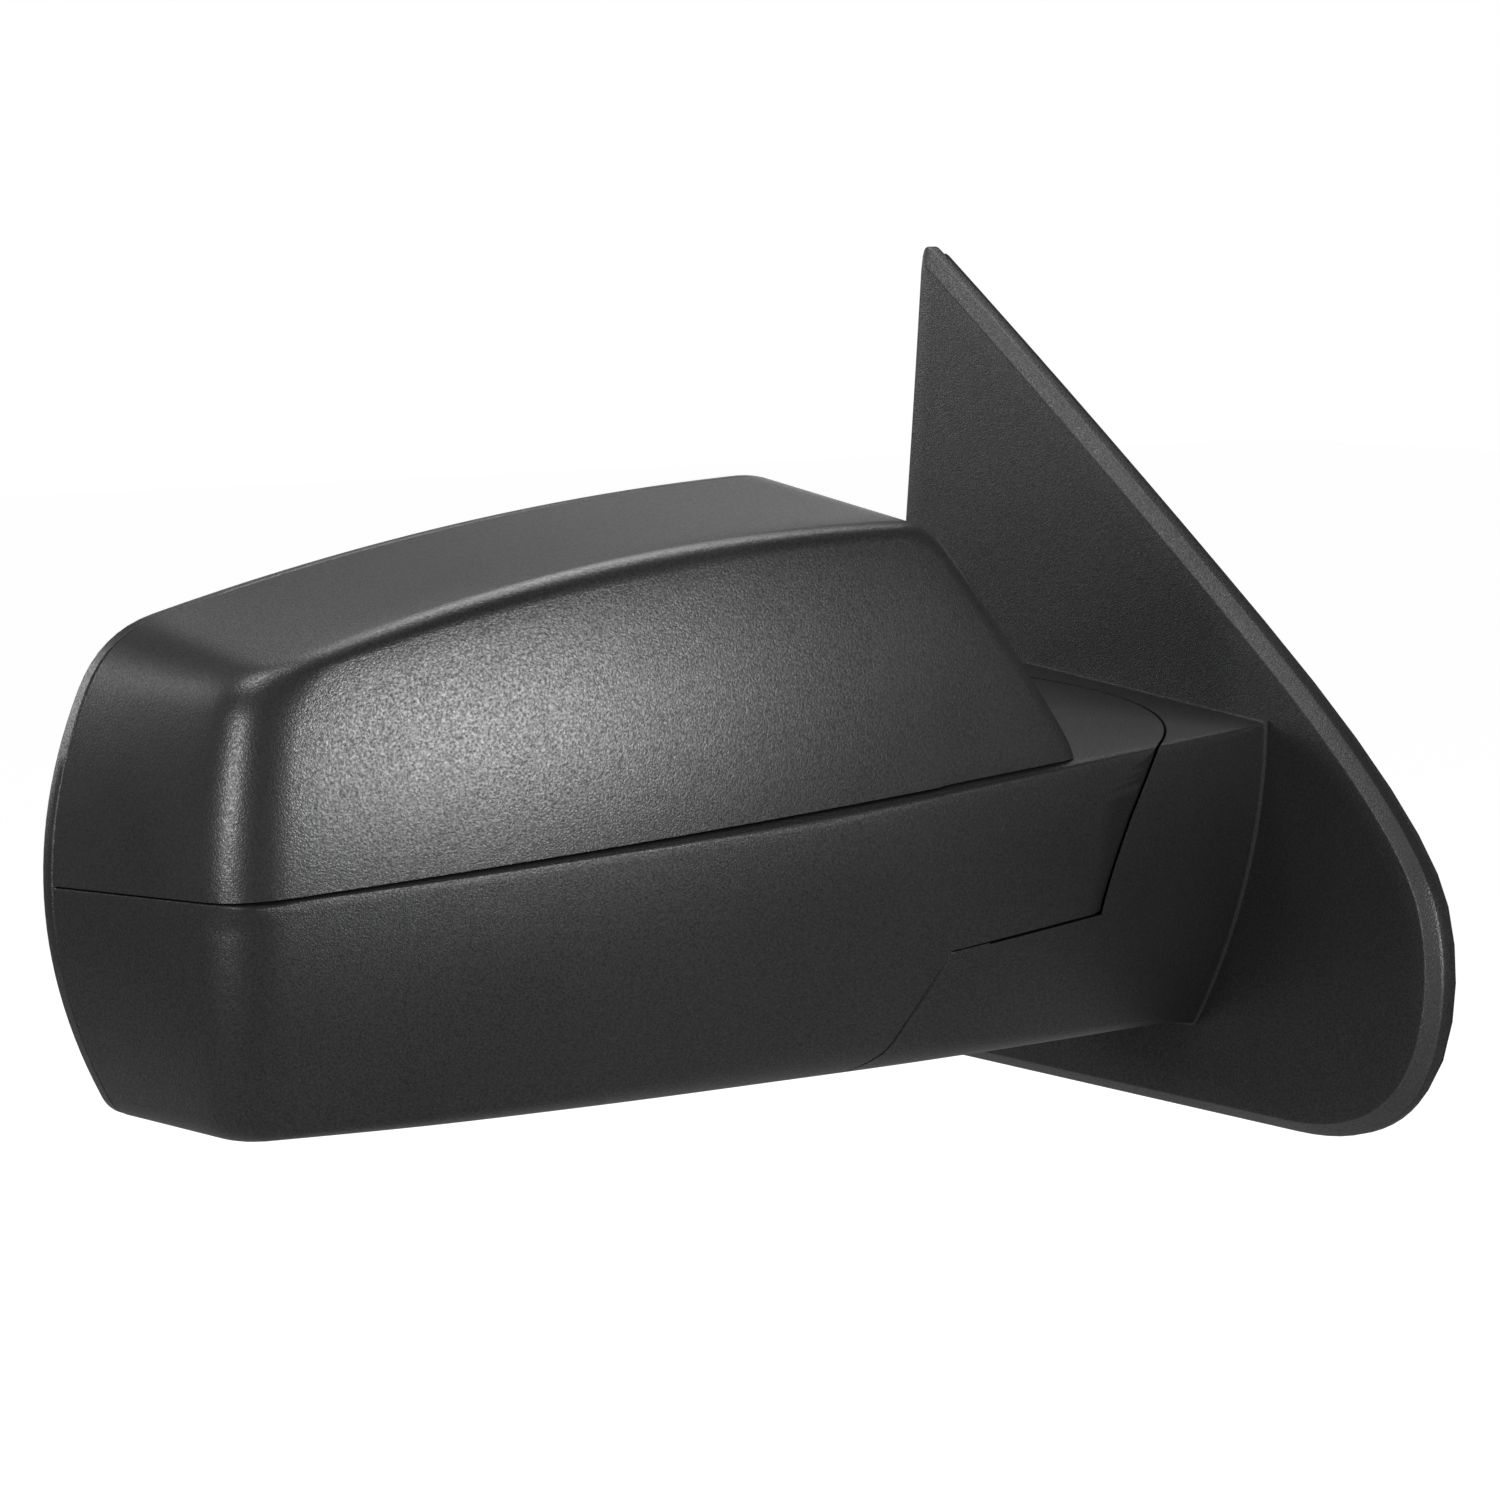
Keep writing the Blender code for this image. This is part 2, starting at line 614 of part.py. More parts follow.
def base_bracket():
    front = -SAIL_T + SAIL_WALL + GAP
    inset = SAIL_WALL + GAP
    bracket = sail_solid("base_bracket", ((front, inset), (front + BRACKET_T, inset)), "cast")
    low = BOSS_BOTTOM - 0.001
    rings = []
    for x, top in ((front + 0.002, 0.016), (-0.0240, 0.008), (-0.0325, -0.0085), (FOLD_X - 0.008, -0.0180)):
        bottom = FOLD_Z + low + (x - FOLD_X) * 0.04
        rings.append([(x, -0.050, bottom), (x, -0.050, top), (x, 0.002, top), (x, 0.002, bottom)])
    join(bracket, loft("bracket_arm", rings))
    top, deck = -WASHER_T / 2 - GAP, -HOUSING_WALL - 0.0010
    end = BOSS_BOTTOM - 0.0020
    boss = [(0, end), (HUB_R, end), (HUB_R, deck), (NECK_R, deck), (NECK_R, top), (0, top)]
    join(bracket, fold_turned("bracket_boss", boss))
    bore = POST_R + RUN_GAP
    seat = POST_R + POST_FLANGE + 2 * GAP
    cut(bracket, fold_turned("post_hole", [(0, -0.060), (bore, -0.060), (bore, 0.010), (0, 0.010)]))
    rows = [(0, -0.060), (seat, -0.060), (seat, BOSS_BOTTOM), (0, BOSS_BOTTOM)]
    cut(bracket, fold_turned("post_seat", rows))
    door_holes(bracket, STUD_R + RUN_GAP)
    return bracket


def gasket():
    pad = sail_solid("gasket", ((-GASKET_T, GASKET_IN), (0.0, GASKET_IN)), "foam")
    door_holes(pad, STUD_R + 2 * GAP)
    return pad


def stud(number, y, z):
    front = -SAIL_T + SAIL_WALL + GAP
    rows = [(0, 0), (STUD_R, 0), (STUD_R, 0.0135 - front)]
    rows += [(STUD_R - 0.0006, 0.0145 - front), (STUD_R - 0.0006, STUD_LENGTH - front - 0.001)]
    rows += [(STUD_R - 0.0014, STUD_LENGTH - front), (0, STUD_LENGTH - front)]
    return revolve(f"stud_{number}", rows, along((front, y, z), (1, 0, 0)), "steel", 12)


def grommet():
    front = -SAIL_T + SAIL_WALL + GAP
    depth = 0.009 - front
    rows = [(0.0055, 0), (GROMMET_R, 0), (GROMMET_R, depth - 0.004), (0.0075, depth), (0.0055, depth)]
    return revolve("wire_grommet", rows, along((front, *GROMMET), (1, 0, 0)), "rubber", 20)


def pivot_post():
    low = BOSS_BOTTOM - GAP
    flange = POST_R + POST_FLANGE
    rows = [(POST_BORE, low - 0.003), (flange, low - 0.003), (flange, low), (POST_R, low)]
    rows += [(POST_R, POST_TOP - 0.001), (POST_R - 0.001, POST_TOP), (POST_BORE, POST_TOP)]
    return fold_turned("pivot_post", rows, "steel")


def fold_spring():
    """A coil between the hub and the retainer."""
    low, high = HUB_TOP + GAP + SPRING_WIRE, RETAINER_Z - GAP - SPRING_WIRE
    rings = []
    steps = int(SPRING_TURNS * 20)
    for k in range(steps + 1):
        share = k / steps
        rise = min(1.0, max(0.0, (share - 0.12) / 0.76))
        turn = 2 * math.pi * SPRING_TURNS * share
        out = Vector((math.cos(turn), math.sin(turn), 0.0))
        centre = out * SPRING_R + Vector((0, 0, low + (high - low) * rise))
        ring = []
        for i in range(6):
            a = 2 * math.pi * i / 6
            across = out * SPRING_WIRE * math.cos(a) + Vector((0, 0, SPRING_WIRE * math.sin(a)))
            ring.append(FOLD @ (centre + across))
        rings.append(ring)
    return loft("fold_spring", rings, "steel")


def fold_parts():
    half, bore = WASHER_T / 2, POST_R + RUN_GAP
    rows = [(bore, -half), (WASHER_R, -half), (WASHER_R, half), (bore, half)]
    washer = fold_turned("thrust_washer", rows, "acetal")
    rim, top = RETAINER_Z + 0.0015, RETAINER_Z + RETAINER_T
    rows = [(bore, RETAINER_Z), (RETAINER_R, RETAINER_Z), (RETAINER_R, rim)]
    rows += [(RETAINER_R - 0.0035, top), (bore, top)]
    retainer = fold_turned("spring_retainer", rows, "steel")
    return [washer, retainer, fold_spring(), pivot_post()]


# ---------------------------------------------------------------- head

def lower_housing():
    shell = beam_form("lower_housing", finish="satin_plastic")
    keep_head(shell, 0.0)
    hollow = beam_form("housing_hollow", HOUSING_WALL)
    keep_head(hollow, HOUSING_WALL)
    cut(shell, hollow)
    deck_left, deck_right = HEAD_TIP + 0.0229, HEAD_INNER - 0.0383
    cut(shell, box("deck_opening", (deck_left, FRAME_Y - 0.0055, 0.0), (deck_right, 0.050, 0.090)))
    cut(shell, prism("tunnel_room", head_outline(OPENING_INSET - BEZEL_WALL - 0.0018), -0.016, 0.050, "Y"))
    cut(shell, prism("rear_opening", head_outline(HOUSING_WALL), 0.0214, 0.050, "Y"))
    neck = NECK_R + 2 * GAP
    cut(shell, fold_turned("housing_neck_hole", [(0, -0.004), (neck, -0.004), (neck, 0.010), (0, 0.010)]))
    for k, (x, z) in enumerate(FRAME_SCREWS[:2]):
        join(shell, frame_post(f"housing_post_{k + 1}", x, z, housing_face(x, z) + 0.0015))
        cut(shell, screw_pilot(f"housing_screw_hole_{k + 1}", x, z))
    return shell


def frame_post(name, x, z, face):
    return cylinder(name, (x, face, z), (0, 1, 0), SCREW_POST_R, FRAME_Y - GAP - face, steps=16)


def screw_pilot(name, x, z):
    return cylinder(name, (x, FRAME_Y, z), (0, -1, 0), SCREW_PILOT_R, SCREW_PILOT, steps=12)


def mirror_cap():
    cap = pod_form("mirror_cap", finish="textured_plastic")
    lean = Matrix.Rotation(-math.atan(SEAM_SLOPE), 4, "Y")
    seam = Matrix.Translation((SEAM_X, 0, SEAM_Z + PANEL_GAP)) @ lean
    keep(cap, box("above_seam", (-0.1, -0.3, 0.0), (0.5, 0.3, 0.3), seam))
    cut(cap, beam_form("arm_clearance", -PANEL_GAP))
    cut(cap, pod_form("cap_hollow", CAP_WALL))
    for k, (x, z) in enumerate(FRAME_SCREWS[2:]):
        join(cap, frame_post(f"cap_post_{k + 1}", x, z, cap_face(x, z) + 0.0014))
        cut(cap, screw_pilot(f"cap_screw_hole_{k + 1}", x, z))
    return cap


def rear_bezel():
    rear, tunnel = BEZEL_REAR, BEZEL_TUNNEL
    inner, outer = OPENING_INSET, OPENING_INSET - BEZEL_WALL
    section = (
        (0.0, HEAD_REAR + GAP), (0.0, rear - 0.0032), (0.0022, rear), (inner - 0.003, rear),
        (inner, rear - 0.002), (inner, tunnel), (outer, tunnel), (outer, rear - 0.004),
        (0.0066, rear - 0.004), (0.0066, 0.0220), (0.0048, 0.0220), (0.0048, HEAD_REAR + GAP))
    return band("rear_bezel", [[(x, y, z) for x, z in head_outline(d)] for d, y in section], "satin_plastic")


def head_frame():
    """The cast plate behind the covers and the hub that turns on the post."""
    x0, x1, z0, z1 = FRAME_LEFT, FRAME_RIGHT, FRAME_LOW, FRAME_HIGH
    rear = FRAME_Y + FRAME_T
    bottom = WASHER_T / 2 + GAP
    deck = HOUSING_WALL + 0.0010
    hub = fold_turned("head_frame", [
        (BUSH_R + RUN_GAP, bottom), (NECK_R, bottom), (NECK_R, deck), (HUB_R, deck), (HUB_R, HUB_TOP),
        (BUSH_R + RUN_GAP, HUB_TOP)], "cast")
    corners = ((x0, z0), (x0, z1), (x1, z1), (x1, z0))
    edge = rounded(corners, (0,) * 4, (0.008,) * 4, (0,) * 4, (1,) * 4, 3)
    plate = prism("frame_plate", edge, FRAME_Y, rear, "Y")
    join(plate, box("frame_neck", (x1 - 0.020, FRAME_Y, 0.0010), (FOLD_X - 0.010, rear, 0.0120)))
    join(plate, box("frame_gusset", (x1 - 0.035, FRAME_Y, 0.0010), (FOLD_X - 0.028, rear, 0.0290)))
    rib_end = (FOLD_X - 0.020, FRAME_Y + 0.001, 0.0070)
    join(plate, box("frame_rib", (x1 - 0.060, FRAME_Y - 0.006, 0.0020), rib_end))
    for k, (x, z) in enumerate(FRAME_SCREWS):
        start = (x, FRAME_Y - 0.01, z)
        cut(plate, cylinder(f"frame_hole_{k + 1}", start, (0, 1, 0), SCREW_PILOT_R, 0.02, steps=12))
    room = HUB_R - 0.002
    cut(plate, fold_turned("frame_hub_room", [(0, -0.02), (room, -0.02), (room, 0.06), (0, 0.06)]))
    join(hub, plate)
    return hub


def screw(name, x, y, z, finish="steel"):
    """A pan-head screw driven to the front: its head rests at y."""
    rows = [(0, 0.0060), (0.0012, 0.0060), (0.0015, 0.0050), (0.0015, -GAP), (0.0030, -GAP)]
    rows += [(0.0030, -0.0016), (0.0022, -0.0023), (0.0012, -0.0023), (0.0012, -0.0012), (0, -0.0012)]
    return revolve(name, rows, along((x, y, z), (0, -1, 0)), finish, 12)


def hub_bush():
    bore, low = POST_R + RUN_GAP, WASHER_T / 2 + GAP
    rows = [(bore, low), (BUSH_R, low), (BUSH_R, HUB_TOP), (bore, HUB_TOP)]
    return fold_turned("hub_bush", rows, "acetal")


def drive_outline(distance):
    left, right = GLASS_X - DRIVE_LONG, GLASS_X + DRIVE_SHORT
    low, high = GLASS_Z - DRIVE_SHORT, GLASS_Z + DRIVE_LONG
    corners = ((left, low), (left, high), (right, high), (right, low))
    return rounded(corners, (0,) * 4, (0.010,) * 4, (distance,) * 4, (1,) * 4, 4)


TILT_AT = (GLASS_X, GLASS_Z + LEVER)
PAN_AT = (GLASS_X - LEVER, GLASS_Z)
COVER_Y = DRIVE_REAR - DRIVE_WALL
FRAME_Y = DRIVE_FRONT - GAP - FRAME_T


def actuator_housing():
    case = prism("actuator_housing", drive_outline(0.0), DRIVE_FRONT, COVER_Y - GAP, "Y", "inner_plastic")
    floor = DRIVE_FRONT + DRIVE_WALL
    cut(case, prism("case_hollow", drive_outline(DRIVE_WALL), floor, 0.0, "Y"))
    for name, (x, z) in (("tilt", TILT_AT), ("pan", PAN_AT)):
        start = floor - 0.001
        height = GEAR_Y - GEAR_W / 2 - GAP - start
        join(case, tube(f"{name}_floor_boss", (x, start, z), (0, 1, 0), SCREW_R + RUN_GAP, BOSS_R, height))
    return case


def actuator_cover():
    lid = prism("actuator_cover", drive_outline(0.0), COVER_Y, DRIVE_REAR, "Y", "inner_plastic")
    for name, side in (("top", 1), ("bottom", -1)):
        z = GLASS_Z + side * EAR_Z
        half = EAR_T / 2
        low = (GLASS_X - EAR_W / 2, DRIVE_REAR - 0.001, z - half)
        high = (GLASS_X + EAR_W / 2, PIVOT_Y + 0.0042, z + half)
        join(lid, box(f"{name}_ear", low, high))
        start = (GLASS_X, PIVOT_Y, z - EAR_T)
        cut(lid, cylinder(f"{name}_ear_hole", start, (0, 0, 1), PIN_R + RUN_GAP, 2 * EAR_T, steps=16))
    for name, (x, z) in (("tilt", TILT_AT), ("pan", PAN_AT)):
        start = GEAR_Y + GEAR_W / 2 + GAP
        cut(lid, cylinder(f"{name}_lid_hole", (x, -0.03, z), (0, 1, 0), BOSS_R - 0.0010, 0.04))
        bore, depth = SCREW_R + RUN_GAP, DRIVE_REAR + 0.0006 - start
        join(lid, tube(f"{name}_lid_boss", (x, start, z), (0, 1, 0), bore, BOSS_R, depth))
    return lid


def motor(name, start, direction):
    shaft, neck, end = 0.0012, 0.0030, MOTOR_LENGTH
    rows = [(0, -0.0060), (shaft, -0.0060), (shaft, -0.0015), (neck, -0.0015), (neck, 0), (MOTOR_R, 0)]
    rows += [(MOTOR_R, end), (neck, end), (neck, end + MOTOR_END), (0, end + MOTOR_END)]
    return revolve(name, rows, along(start, direction), "steel", 20)


def gear(name, x, z):
    """A toothed nut that drives a plunger."""
    pitch = GEAR_TEETH * GEAR_MODULE / 2
    rings = []
    for y in (GEAR_Y - GEAR_W / 2, GEAR_Y + GEAR_W / 2):
        ring = []
        for k in range(GEAR_TEETH * 4):
            on_tip = k % 4 < 2
            radius = pitch + (0.8 if on_tip else -1.0) * GEAR_MODULE
            lean = 0.25 if (k % 2 == 1) == on_tip else -0.25
            turn = 2 * math.pi * (k + lean) / (GEAR_TEETH * 4)
            ring.append((x + radius * math.cos(turn), y, z + radius * math.sin(turn)))
        rings.append(ring)
    wheel = loft(name, rings, "acetal")
    cut(wheel, cylinder(f"{name}_bore", (x, -0.05, z), (0, 1, 0), SCREW_R + RUN_GAP, 0.05))
    return wheel


def plunger(name, x, z):
    """A threaded plunger with a ball end."""
    start = -0.0300
    rows = [(0, start), (SCREW_R - 0.0008, start), (SCREW_R, start + 0.0008)]
    rows += [(SCREW_R, -0.0068), (STEM_R, -0.0060)]
    for k in range(1, 8):
        turn = math.pi * k / 8
        if BALL_R * math.sin(turn) > STEM_R or k > 3:
            rows.append((BALL_R * math.sin(turn), PIVOT_Y - BALL_R * math.cos(turn)))
    rows.append((0, PIVOT_Y + BALL_R))
    return revolve(name, rows, along((x, 0, z), (0, 1, 0)), "acetal", 16)


def gimbal_ring():
    low = PIVOT_Y - RING_T / 2
    start = (GLASS_X, low, GLASS_Z)
    ring = tube("gimbal_ring", start, (0, 1, 0), RING_R - RING_W, RING_R, RING_T, "acetal", 32)
    for name, side in (("a", 1), ("b", -1)):
        start, length = RING_R - 0.0015, EAR_Z + 0.0020 - (RING_R - 0.0015)
        place = (GLASS_X, PIVOT_Y, GLASS_Z + side * start)
        join(ring, cylinder(f"pan_pin_{name}", place, (0, 0, side), PIN_R, length, steps=16))
        start, length = HUB_BOSS_R - 0.0033, RING_R - 0.0020 - (HUB_BOSS_R - 0.0033)
        place = (GLASS_X + side * start, PIVOT_Y, GLASS_Z)
        join(ring, cylinder(f"tilt_pin_{name}", place, (side, 0, 0), PIN_R, length, steps=16))
    return ring


# ---------------------------------------------------------------- glass

def dome_ring(points, scale, y):
    """An outline drawn in towards the pivot by scale, laid on the glass's curve."""
    ring = []
    for x, z in points:
        dx, dz = (x - GLASS_X) * scale, (z - GLASS_Z) * scale
        ring.append((GLASS_X + dx, y - (dx * dx + dz * dz) / (2 * GLASS_RADIUS), GLASS_Z + dz))
    return ring


def pane(name, distance, low, high, finish):
    points = head_outline(distance)
    rings = [dome_ring(points, scale, low) for scale in (0.10, 0.55, 1.0)]
    rings += [dome_ring(points, scale, high) for scale in (1.0, 0.55, 0.10)]
    return loft(name, rings, finish)


def glass_holder():
    edge = OPENING_INSET + GLASS_MARGIN
    outer, inner = head_outline(edge), head_outline(edge + LIP)
    top = GLASS_Y - GLASS_T - HEATER_T - 2 * GAP
    back = top - HOLDER_T
    rings = [dome_ring(outer, scale, back) for scale in (0.10, 0.55, 1.0)]
    rings += [dome_ring(outer, 1.0, GLASS_Y - 0.0004), dome_ring(inner, 1.0, GLASS_Y - 0.0004)]
    rings += [dome_ring(inner, scale, top) for scale in (1.0, 0.55, 0.10)]
    holder = loft("glass_holder", rings, "inner_plastic")
    inside = back + 0.0012
    low = PIVOT_Y - 0.0042
    hub_start = (GLASS_X, low, GLASS_Z)
    join(holder, cylinder("holder_hub", hub_start, (0, 1, 0), HUB_BOSS_R, inside - low, steps=24))
    pin_hole = cylinder(
        "holder_pin_hole", (GLASS_X - 0.012, PIVOT_Y, GLASS_Z), (1, 0, 0), PIN_R + RUN_GAP, 0.024, steps=16)
    cut(holder, pin_hole)
    bore = BALL_R + SOCKET_PLAY
    for name, (x, z) in (("tilt", TILT_AT), ("pan", PAN_AT)):
        start = PIVOT_Y - 0.0028
        depth = inside - start - 0.0005
        join(holder, cylinder(f"{name}_socket", (x, start, z), (0, 1, 0), bore + SOCKET_WALL, depth))
        start -= 0.005
        depth = PIVOT_Y + BALL_R + 0.0006 - start
        cut(holder, cylinder(f"{name}_socket_bore", (x, start, z), (0, 1, 0), bore, depth))
    return holder


def pivot(name, place, children):
    empty = bpy.data.objects.new(name, None)
    empty.matrix_world = place
    empty.empty_display_size = 0.02
    bpy.context.scene.collection.objects.link(empty)
    bpy.context.view_layer.update()
    for child in children:
        child.parent = empty
        child.matrix_parent_inverse = place.inverted()
    return empty


def main():
    clear_scene()
    foot_cover()
    base_bracket()
    gasket()
    for k, (y, z) in enumerate(STUDS):
        stud(k + 1, y, z)
    grommet()
    fold_parts()

    head = [lower_housing(), mirror_cap(), rear_bezel(), head_frame(), hub_bush()]
    head += [actuator_housing(), actuator_cover()]
    for k, (x, z) in enumerate(FRAME_SCREWS):
        head.append(screw(f"frame_screw_{k + 1}", x, FRAME_Y + FRAME_T, z))
    worm_y = GEAR_Y - 0.003
    head.append(motor("tilt_motor", (GLASS_X + MOTOR_AHEAD, worm_y, GLASS_Z + MOTOR_OFFSET), (1, 0, 0)))
    head.append(motor("pan_motor", (GLASS_X - MOTOR_OFFSET, worm_y, GLASS_Z - MOTOR_AHEAD), (0, 0, -1)))
    pivot("fold_axis", FOLD, head)

    ring = gimbal_ring()
    pivot("pan_axis", Matrix.Translation((GLASS_X, PIVOT_Y, GLASS_Z)), [ring])
    edge = OPENING_INSET + GLASS_MARGIN + LIP + 0.0004
    heater_low = GLASS_Y - GLASS_T - HEATER_T - GAP
    glass = [
        glass_holder(),
        pane("heater_pad", edge + 0.004, heater_low, heater_low + HEATER_T, "heater"),
        pane("mirror_glass", edge, GLASS_Y - GLASS_T, GLASS_Y, "mirror")]
    pivot("tilt_axis", Matrix.Translation((GLASS_X, PIVOT_Y, GLASS_Z)), glass)
    for name, (x, z) in (("tilt", TILT_AT), ("pan", PAN_AT)):
        place = Matrix.Translation((x, GEAR_Y, z))
        drive = [plunger(f"{name}_plunger", x, z), gear(f"{name}_drive_gear", x, z)]
        pivot(f"{name}_drive_axis", place, drive)


main()
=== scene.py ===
"""Looks for a folding power door mirror: fine covers over the CAD frame, grained black plastic, a studio."""

import math

import bmesh
import bpy
from mathutils import Matrix, Vector


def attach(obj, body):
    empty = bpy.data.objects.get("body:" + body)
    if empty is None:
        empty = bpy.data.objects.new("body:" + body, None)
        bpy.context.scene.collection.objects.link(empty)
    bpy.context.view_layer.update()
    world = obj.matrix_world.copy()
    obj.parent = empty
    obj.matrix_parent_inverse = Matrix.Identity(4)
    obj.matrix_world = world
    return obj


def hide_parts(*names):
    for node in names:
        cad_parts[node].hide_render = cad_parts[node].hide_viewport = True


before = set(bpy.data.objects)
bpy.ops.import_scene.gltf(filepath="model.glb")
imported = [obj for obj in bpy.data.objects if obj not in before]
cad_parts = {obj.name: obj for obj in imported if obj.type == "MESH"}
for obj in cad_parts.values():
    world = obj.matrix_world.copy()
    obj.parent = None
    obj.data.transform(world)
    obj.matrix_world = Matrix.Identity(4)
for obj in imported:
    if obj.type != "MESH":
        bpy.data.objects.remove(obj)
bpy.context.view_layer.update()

# ---------------------------------------------------------------- sizes in metres, as in the CAD

# Gaps: between painted panels, across the fold, and between a cover and what it rests on.
PANEL_GAP = 0.0005
FOLD_GAP = 0.0010
GAP = 0.0003
GASKET_T = 0.0030

# The sail, the triangular plate on the door. Its outline lies in Y and Z, and its outer face looks to -X.
SAIL_T, SAIL_WALL, SAIL_CHAMFER, SAIL_BEVEL = 0.0110, 0.0030, 0.0040, 0.0035
SAIL_REAR, SAIL_BOTTOM = 0.11655, -0.0800
SAIL_TOP_Y, SAIL_TOP_Z = 0.0869, 0.20078
SAIL_NOSE_Y, SAIL_NOSE_Z = -0.1215, 0.0463
SAIL_LOW_Y = -0.1433
SAIL_NOSE_BULGE, SAIL_FRONT_BULGE, SAIL_BACK_BULGE = 0.0281, 0.0017, -0.0018
SAIL_TIP_CUT, SAIL_NOSE_CUT, SAIL_LOW_CUT, SAIL_HEEL_CUT = 0.0060, 0.0591, 0.0437, 0.0120
SAIL_FACE_INSET = 0.012

# The head's rim, its widest outline, in X and Z.
HEAD_REAR = 0.0260
HEAD_TIP, HEAD_TIP_BULGE, HEAD_BOTTOM = -0.3629, 0.02096, -0.0507
HEAD_TOP, HEAD_TOP_DROP, HEAD_TOP_BULGE = 0.1281, 0.0370, 0.0072
HEAD_INNER, HEAD_INNER_MID_X, HEAD_INNER_MID_Z, HEAD_INNER_LOW = -0.1167, -0.1070, 0.0620, -0.1670

# The crease round the head's front face, and the seam between the cap and the lower housing.
FACE_TIP, FACE_TIP_BULGE, FACE_BOTTOM = HEAD_TIP + 0.0029, 0.0065, -0.0469
FACE_TOP, FACE_TOP_DROP, FACE_TOP_BULGE = 0.1185, 0.0370, 0.0107
FACE_INNER, FACE_INNER_MID_X, FACE_INNER_MID_Z, FACE_INNER_LOW = -0.1380, -0.0870, 0.0460, -0.0750
SEAM_X, SEAM_Z, SEAM_SLOPE = HEAD_TIP - HEAD_TIP_BULGE, 0.0190, 0.084

# The front faces: how far forward, how they sweep back to the tip, and how they crown.
FRONT_Y, FRONT_X, TIP_SWEEP = -0.0840, -0.0850, 0.0360
FRONT_SWEEP = TIP_SWEEP / (FACE_TIP - FRONT_X) ** 2
CAP_CROWN, CAP_WALL = 1.6, 0.0028
SHOULDER, SHOULDER_RUN, UNDERCUT, HOUSING_WALL = 0.0024, 0.060, 3.0, 0.0030
BEAM_FACE_BOTTOM = FACE_BOTTOM - 0.004

# The arm, the fold axis and the round ends that pass each other when the head folds: (height, radius) pairs.
ARM_TOP, ARM_BOTTOM, ARM_CREST_X, ARM_STEP = 0.0600, -0.0535, -0.1230, 0.0240
FOLD_X, FOLD_Y, FOLD_Z, FOLD_TILT = -0.0950, -0.0220, -0.0080, math.radians(6.0)
HEAD_DRUM = ((0.0, 0.0600), (0.0300, 0.0700), (0.0520, 0.0780), (0.0900, 0.0800))
FOOT_DRUM = ((0.0, 0.0670), (-0.0300, 0.0710), (-0.0420, 0.0770), (-0.0700, 0.0860))
NECK_R = 0.0214
COLLAR_PROUD, COLLAR_DEEP = 0.0007, 0.0013   # the thin rib round the foot where it meets the sail

# The bezel, its opening and the glass in it.
OPENING_INSET, BEZEL_WALL, BEZEL_REAR, BEZEL_TUNNEL = 0.0165, 0.0022, 0.0340, -0.0040
BEZEL_PLATE, BEZEL_ROOM, BEZEL_ROUND_STEPS, BEZEL_SHARP = 0.004, 0.0018, 5, 32
BEZEL_SKIRT_IN, BEZEL_SKIRT_T, BEZEL_SKIRT_FRONT = 0.0048, 0.0018, 0.0220
RIM_ROUND_IN, RIM_ROUND_DEEP = 0.0026, 0.0032
MOUTH_ROUND_IN, MOUTH_ROUND_DEEP = 0.0028, 0.0024
GLASS_X, GLASS_Z = (HEAD_TIP + HEAD_INNER) / 2 - 0.0072, 0.0330
GLASS_Y, GLASS_T, GLASS_RADIUS = 0.0180, 0.0022, 1.400
GLASS_MARGIN, LIP, GLASS_SLACK, GLASS_BREAK = 0.0035, 0.0011, 0.0004, 0.0005
GLASS_RINGS, GLASS_SHARP = 12, 25

# How much of each edge the rounds take at each corner, in the corners' order.
POD_RIM_CUTS = (0.0060, 0.0168, 0.0153, 0.0180, 0.0160)
POD_FACE_CUTS = (0.0079, 0.0100, 0.0100, 0.0060, 0.0060)
BEAM_RIM_CUTS = (0.0060, 0.0006, 0.0040, 0.0060, 0.0010, 0.0010)
BEAM_FACE_CUTS = (0.0099, 0.0006, 0.0040, 0.0060, 0.0010, 0.0010)
LEAST_CUT = 0.003

# How finely the shapes are divided: points along each edge and round a corner, and the rings of the walls,
# the rounds and the faces.
POD_EDGES = (26, 44, 12, 18, 30)
BEAM_EDGES = (16, 36, 8, 24, 12, 44)
SAIL_EDGES, SAIL_CORNER = (20, 14, 40, 24), 16
FINE_RINGS, HOLLOW_RINGS = (8, 9, 12), (2, 4, 3)

# ---------------------------------------------------------------- outlines (clockwise), finer than the CAD's

TANGENT_STEP, PARALLEL, LENGTH_STEPS = 1e-3, 1e-6, 8
RIM_CUT_GROWTH, CUT_LOSS = 1.4, 0.6   # how the rounds change as an outline is moved in


def tangent(edge, t):
    """The edge's direction at t, where t runs from 0 to 1."""
    a, b = edge(max(t - TANGENT_STEP, 0.0)), edge(min(t + TANGENT_STEP, 1.0))
    length = math.dist(a, b)
    return (b[0] - a[0]) / length, (b[1] - a[1]) / length


def meeting_point(p, d, q, e):
    """Where the line from p along d meets the one from q along e. Parallel lines meet halfway from p to q."""
    cross = d[0] * e[1] - d[1] * e[0]
    if abs(cross) < PARALLEL:
        return (p[0] + q[0]) / 2, (p[1] + q[1]) / 2
    reach = ((q[0] - p[0]) * e[1] - (q[1] - p[1]) * e[0]) / cross
    return p[0] + d[0] * reach, p[1] + d[1] * reach


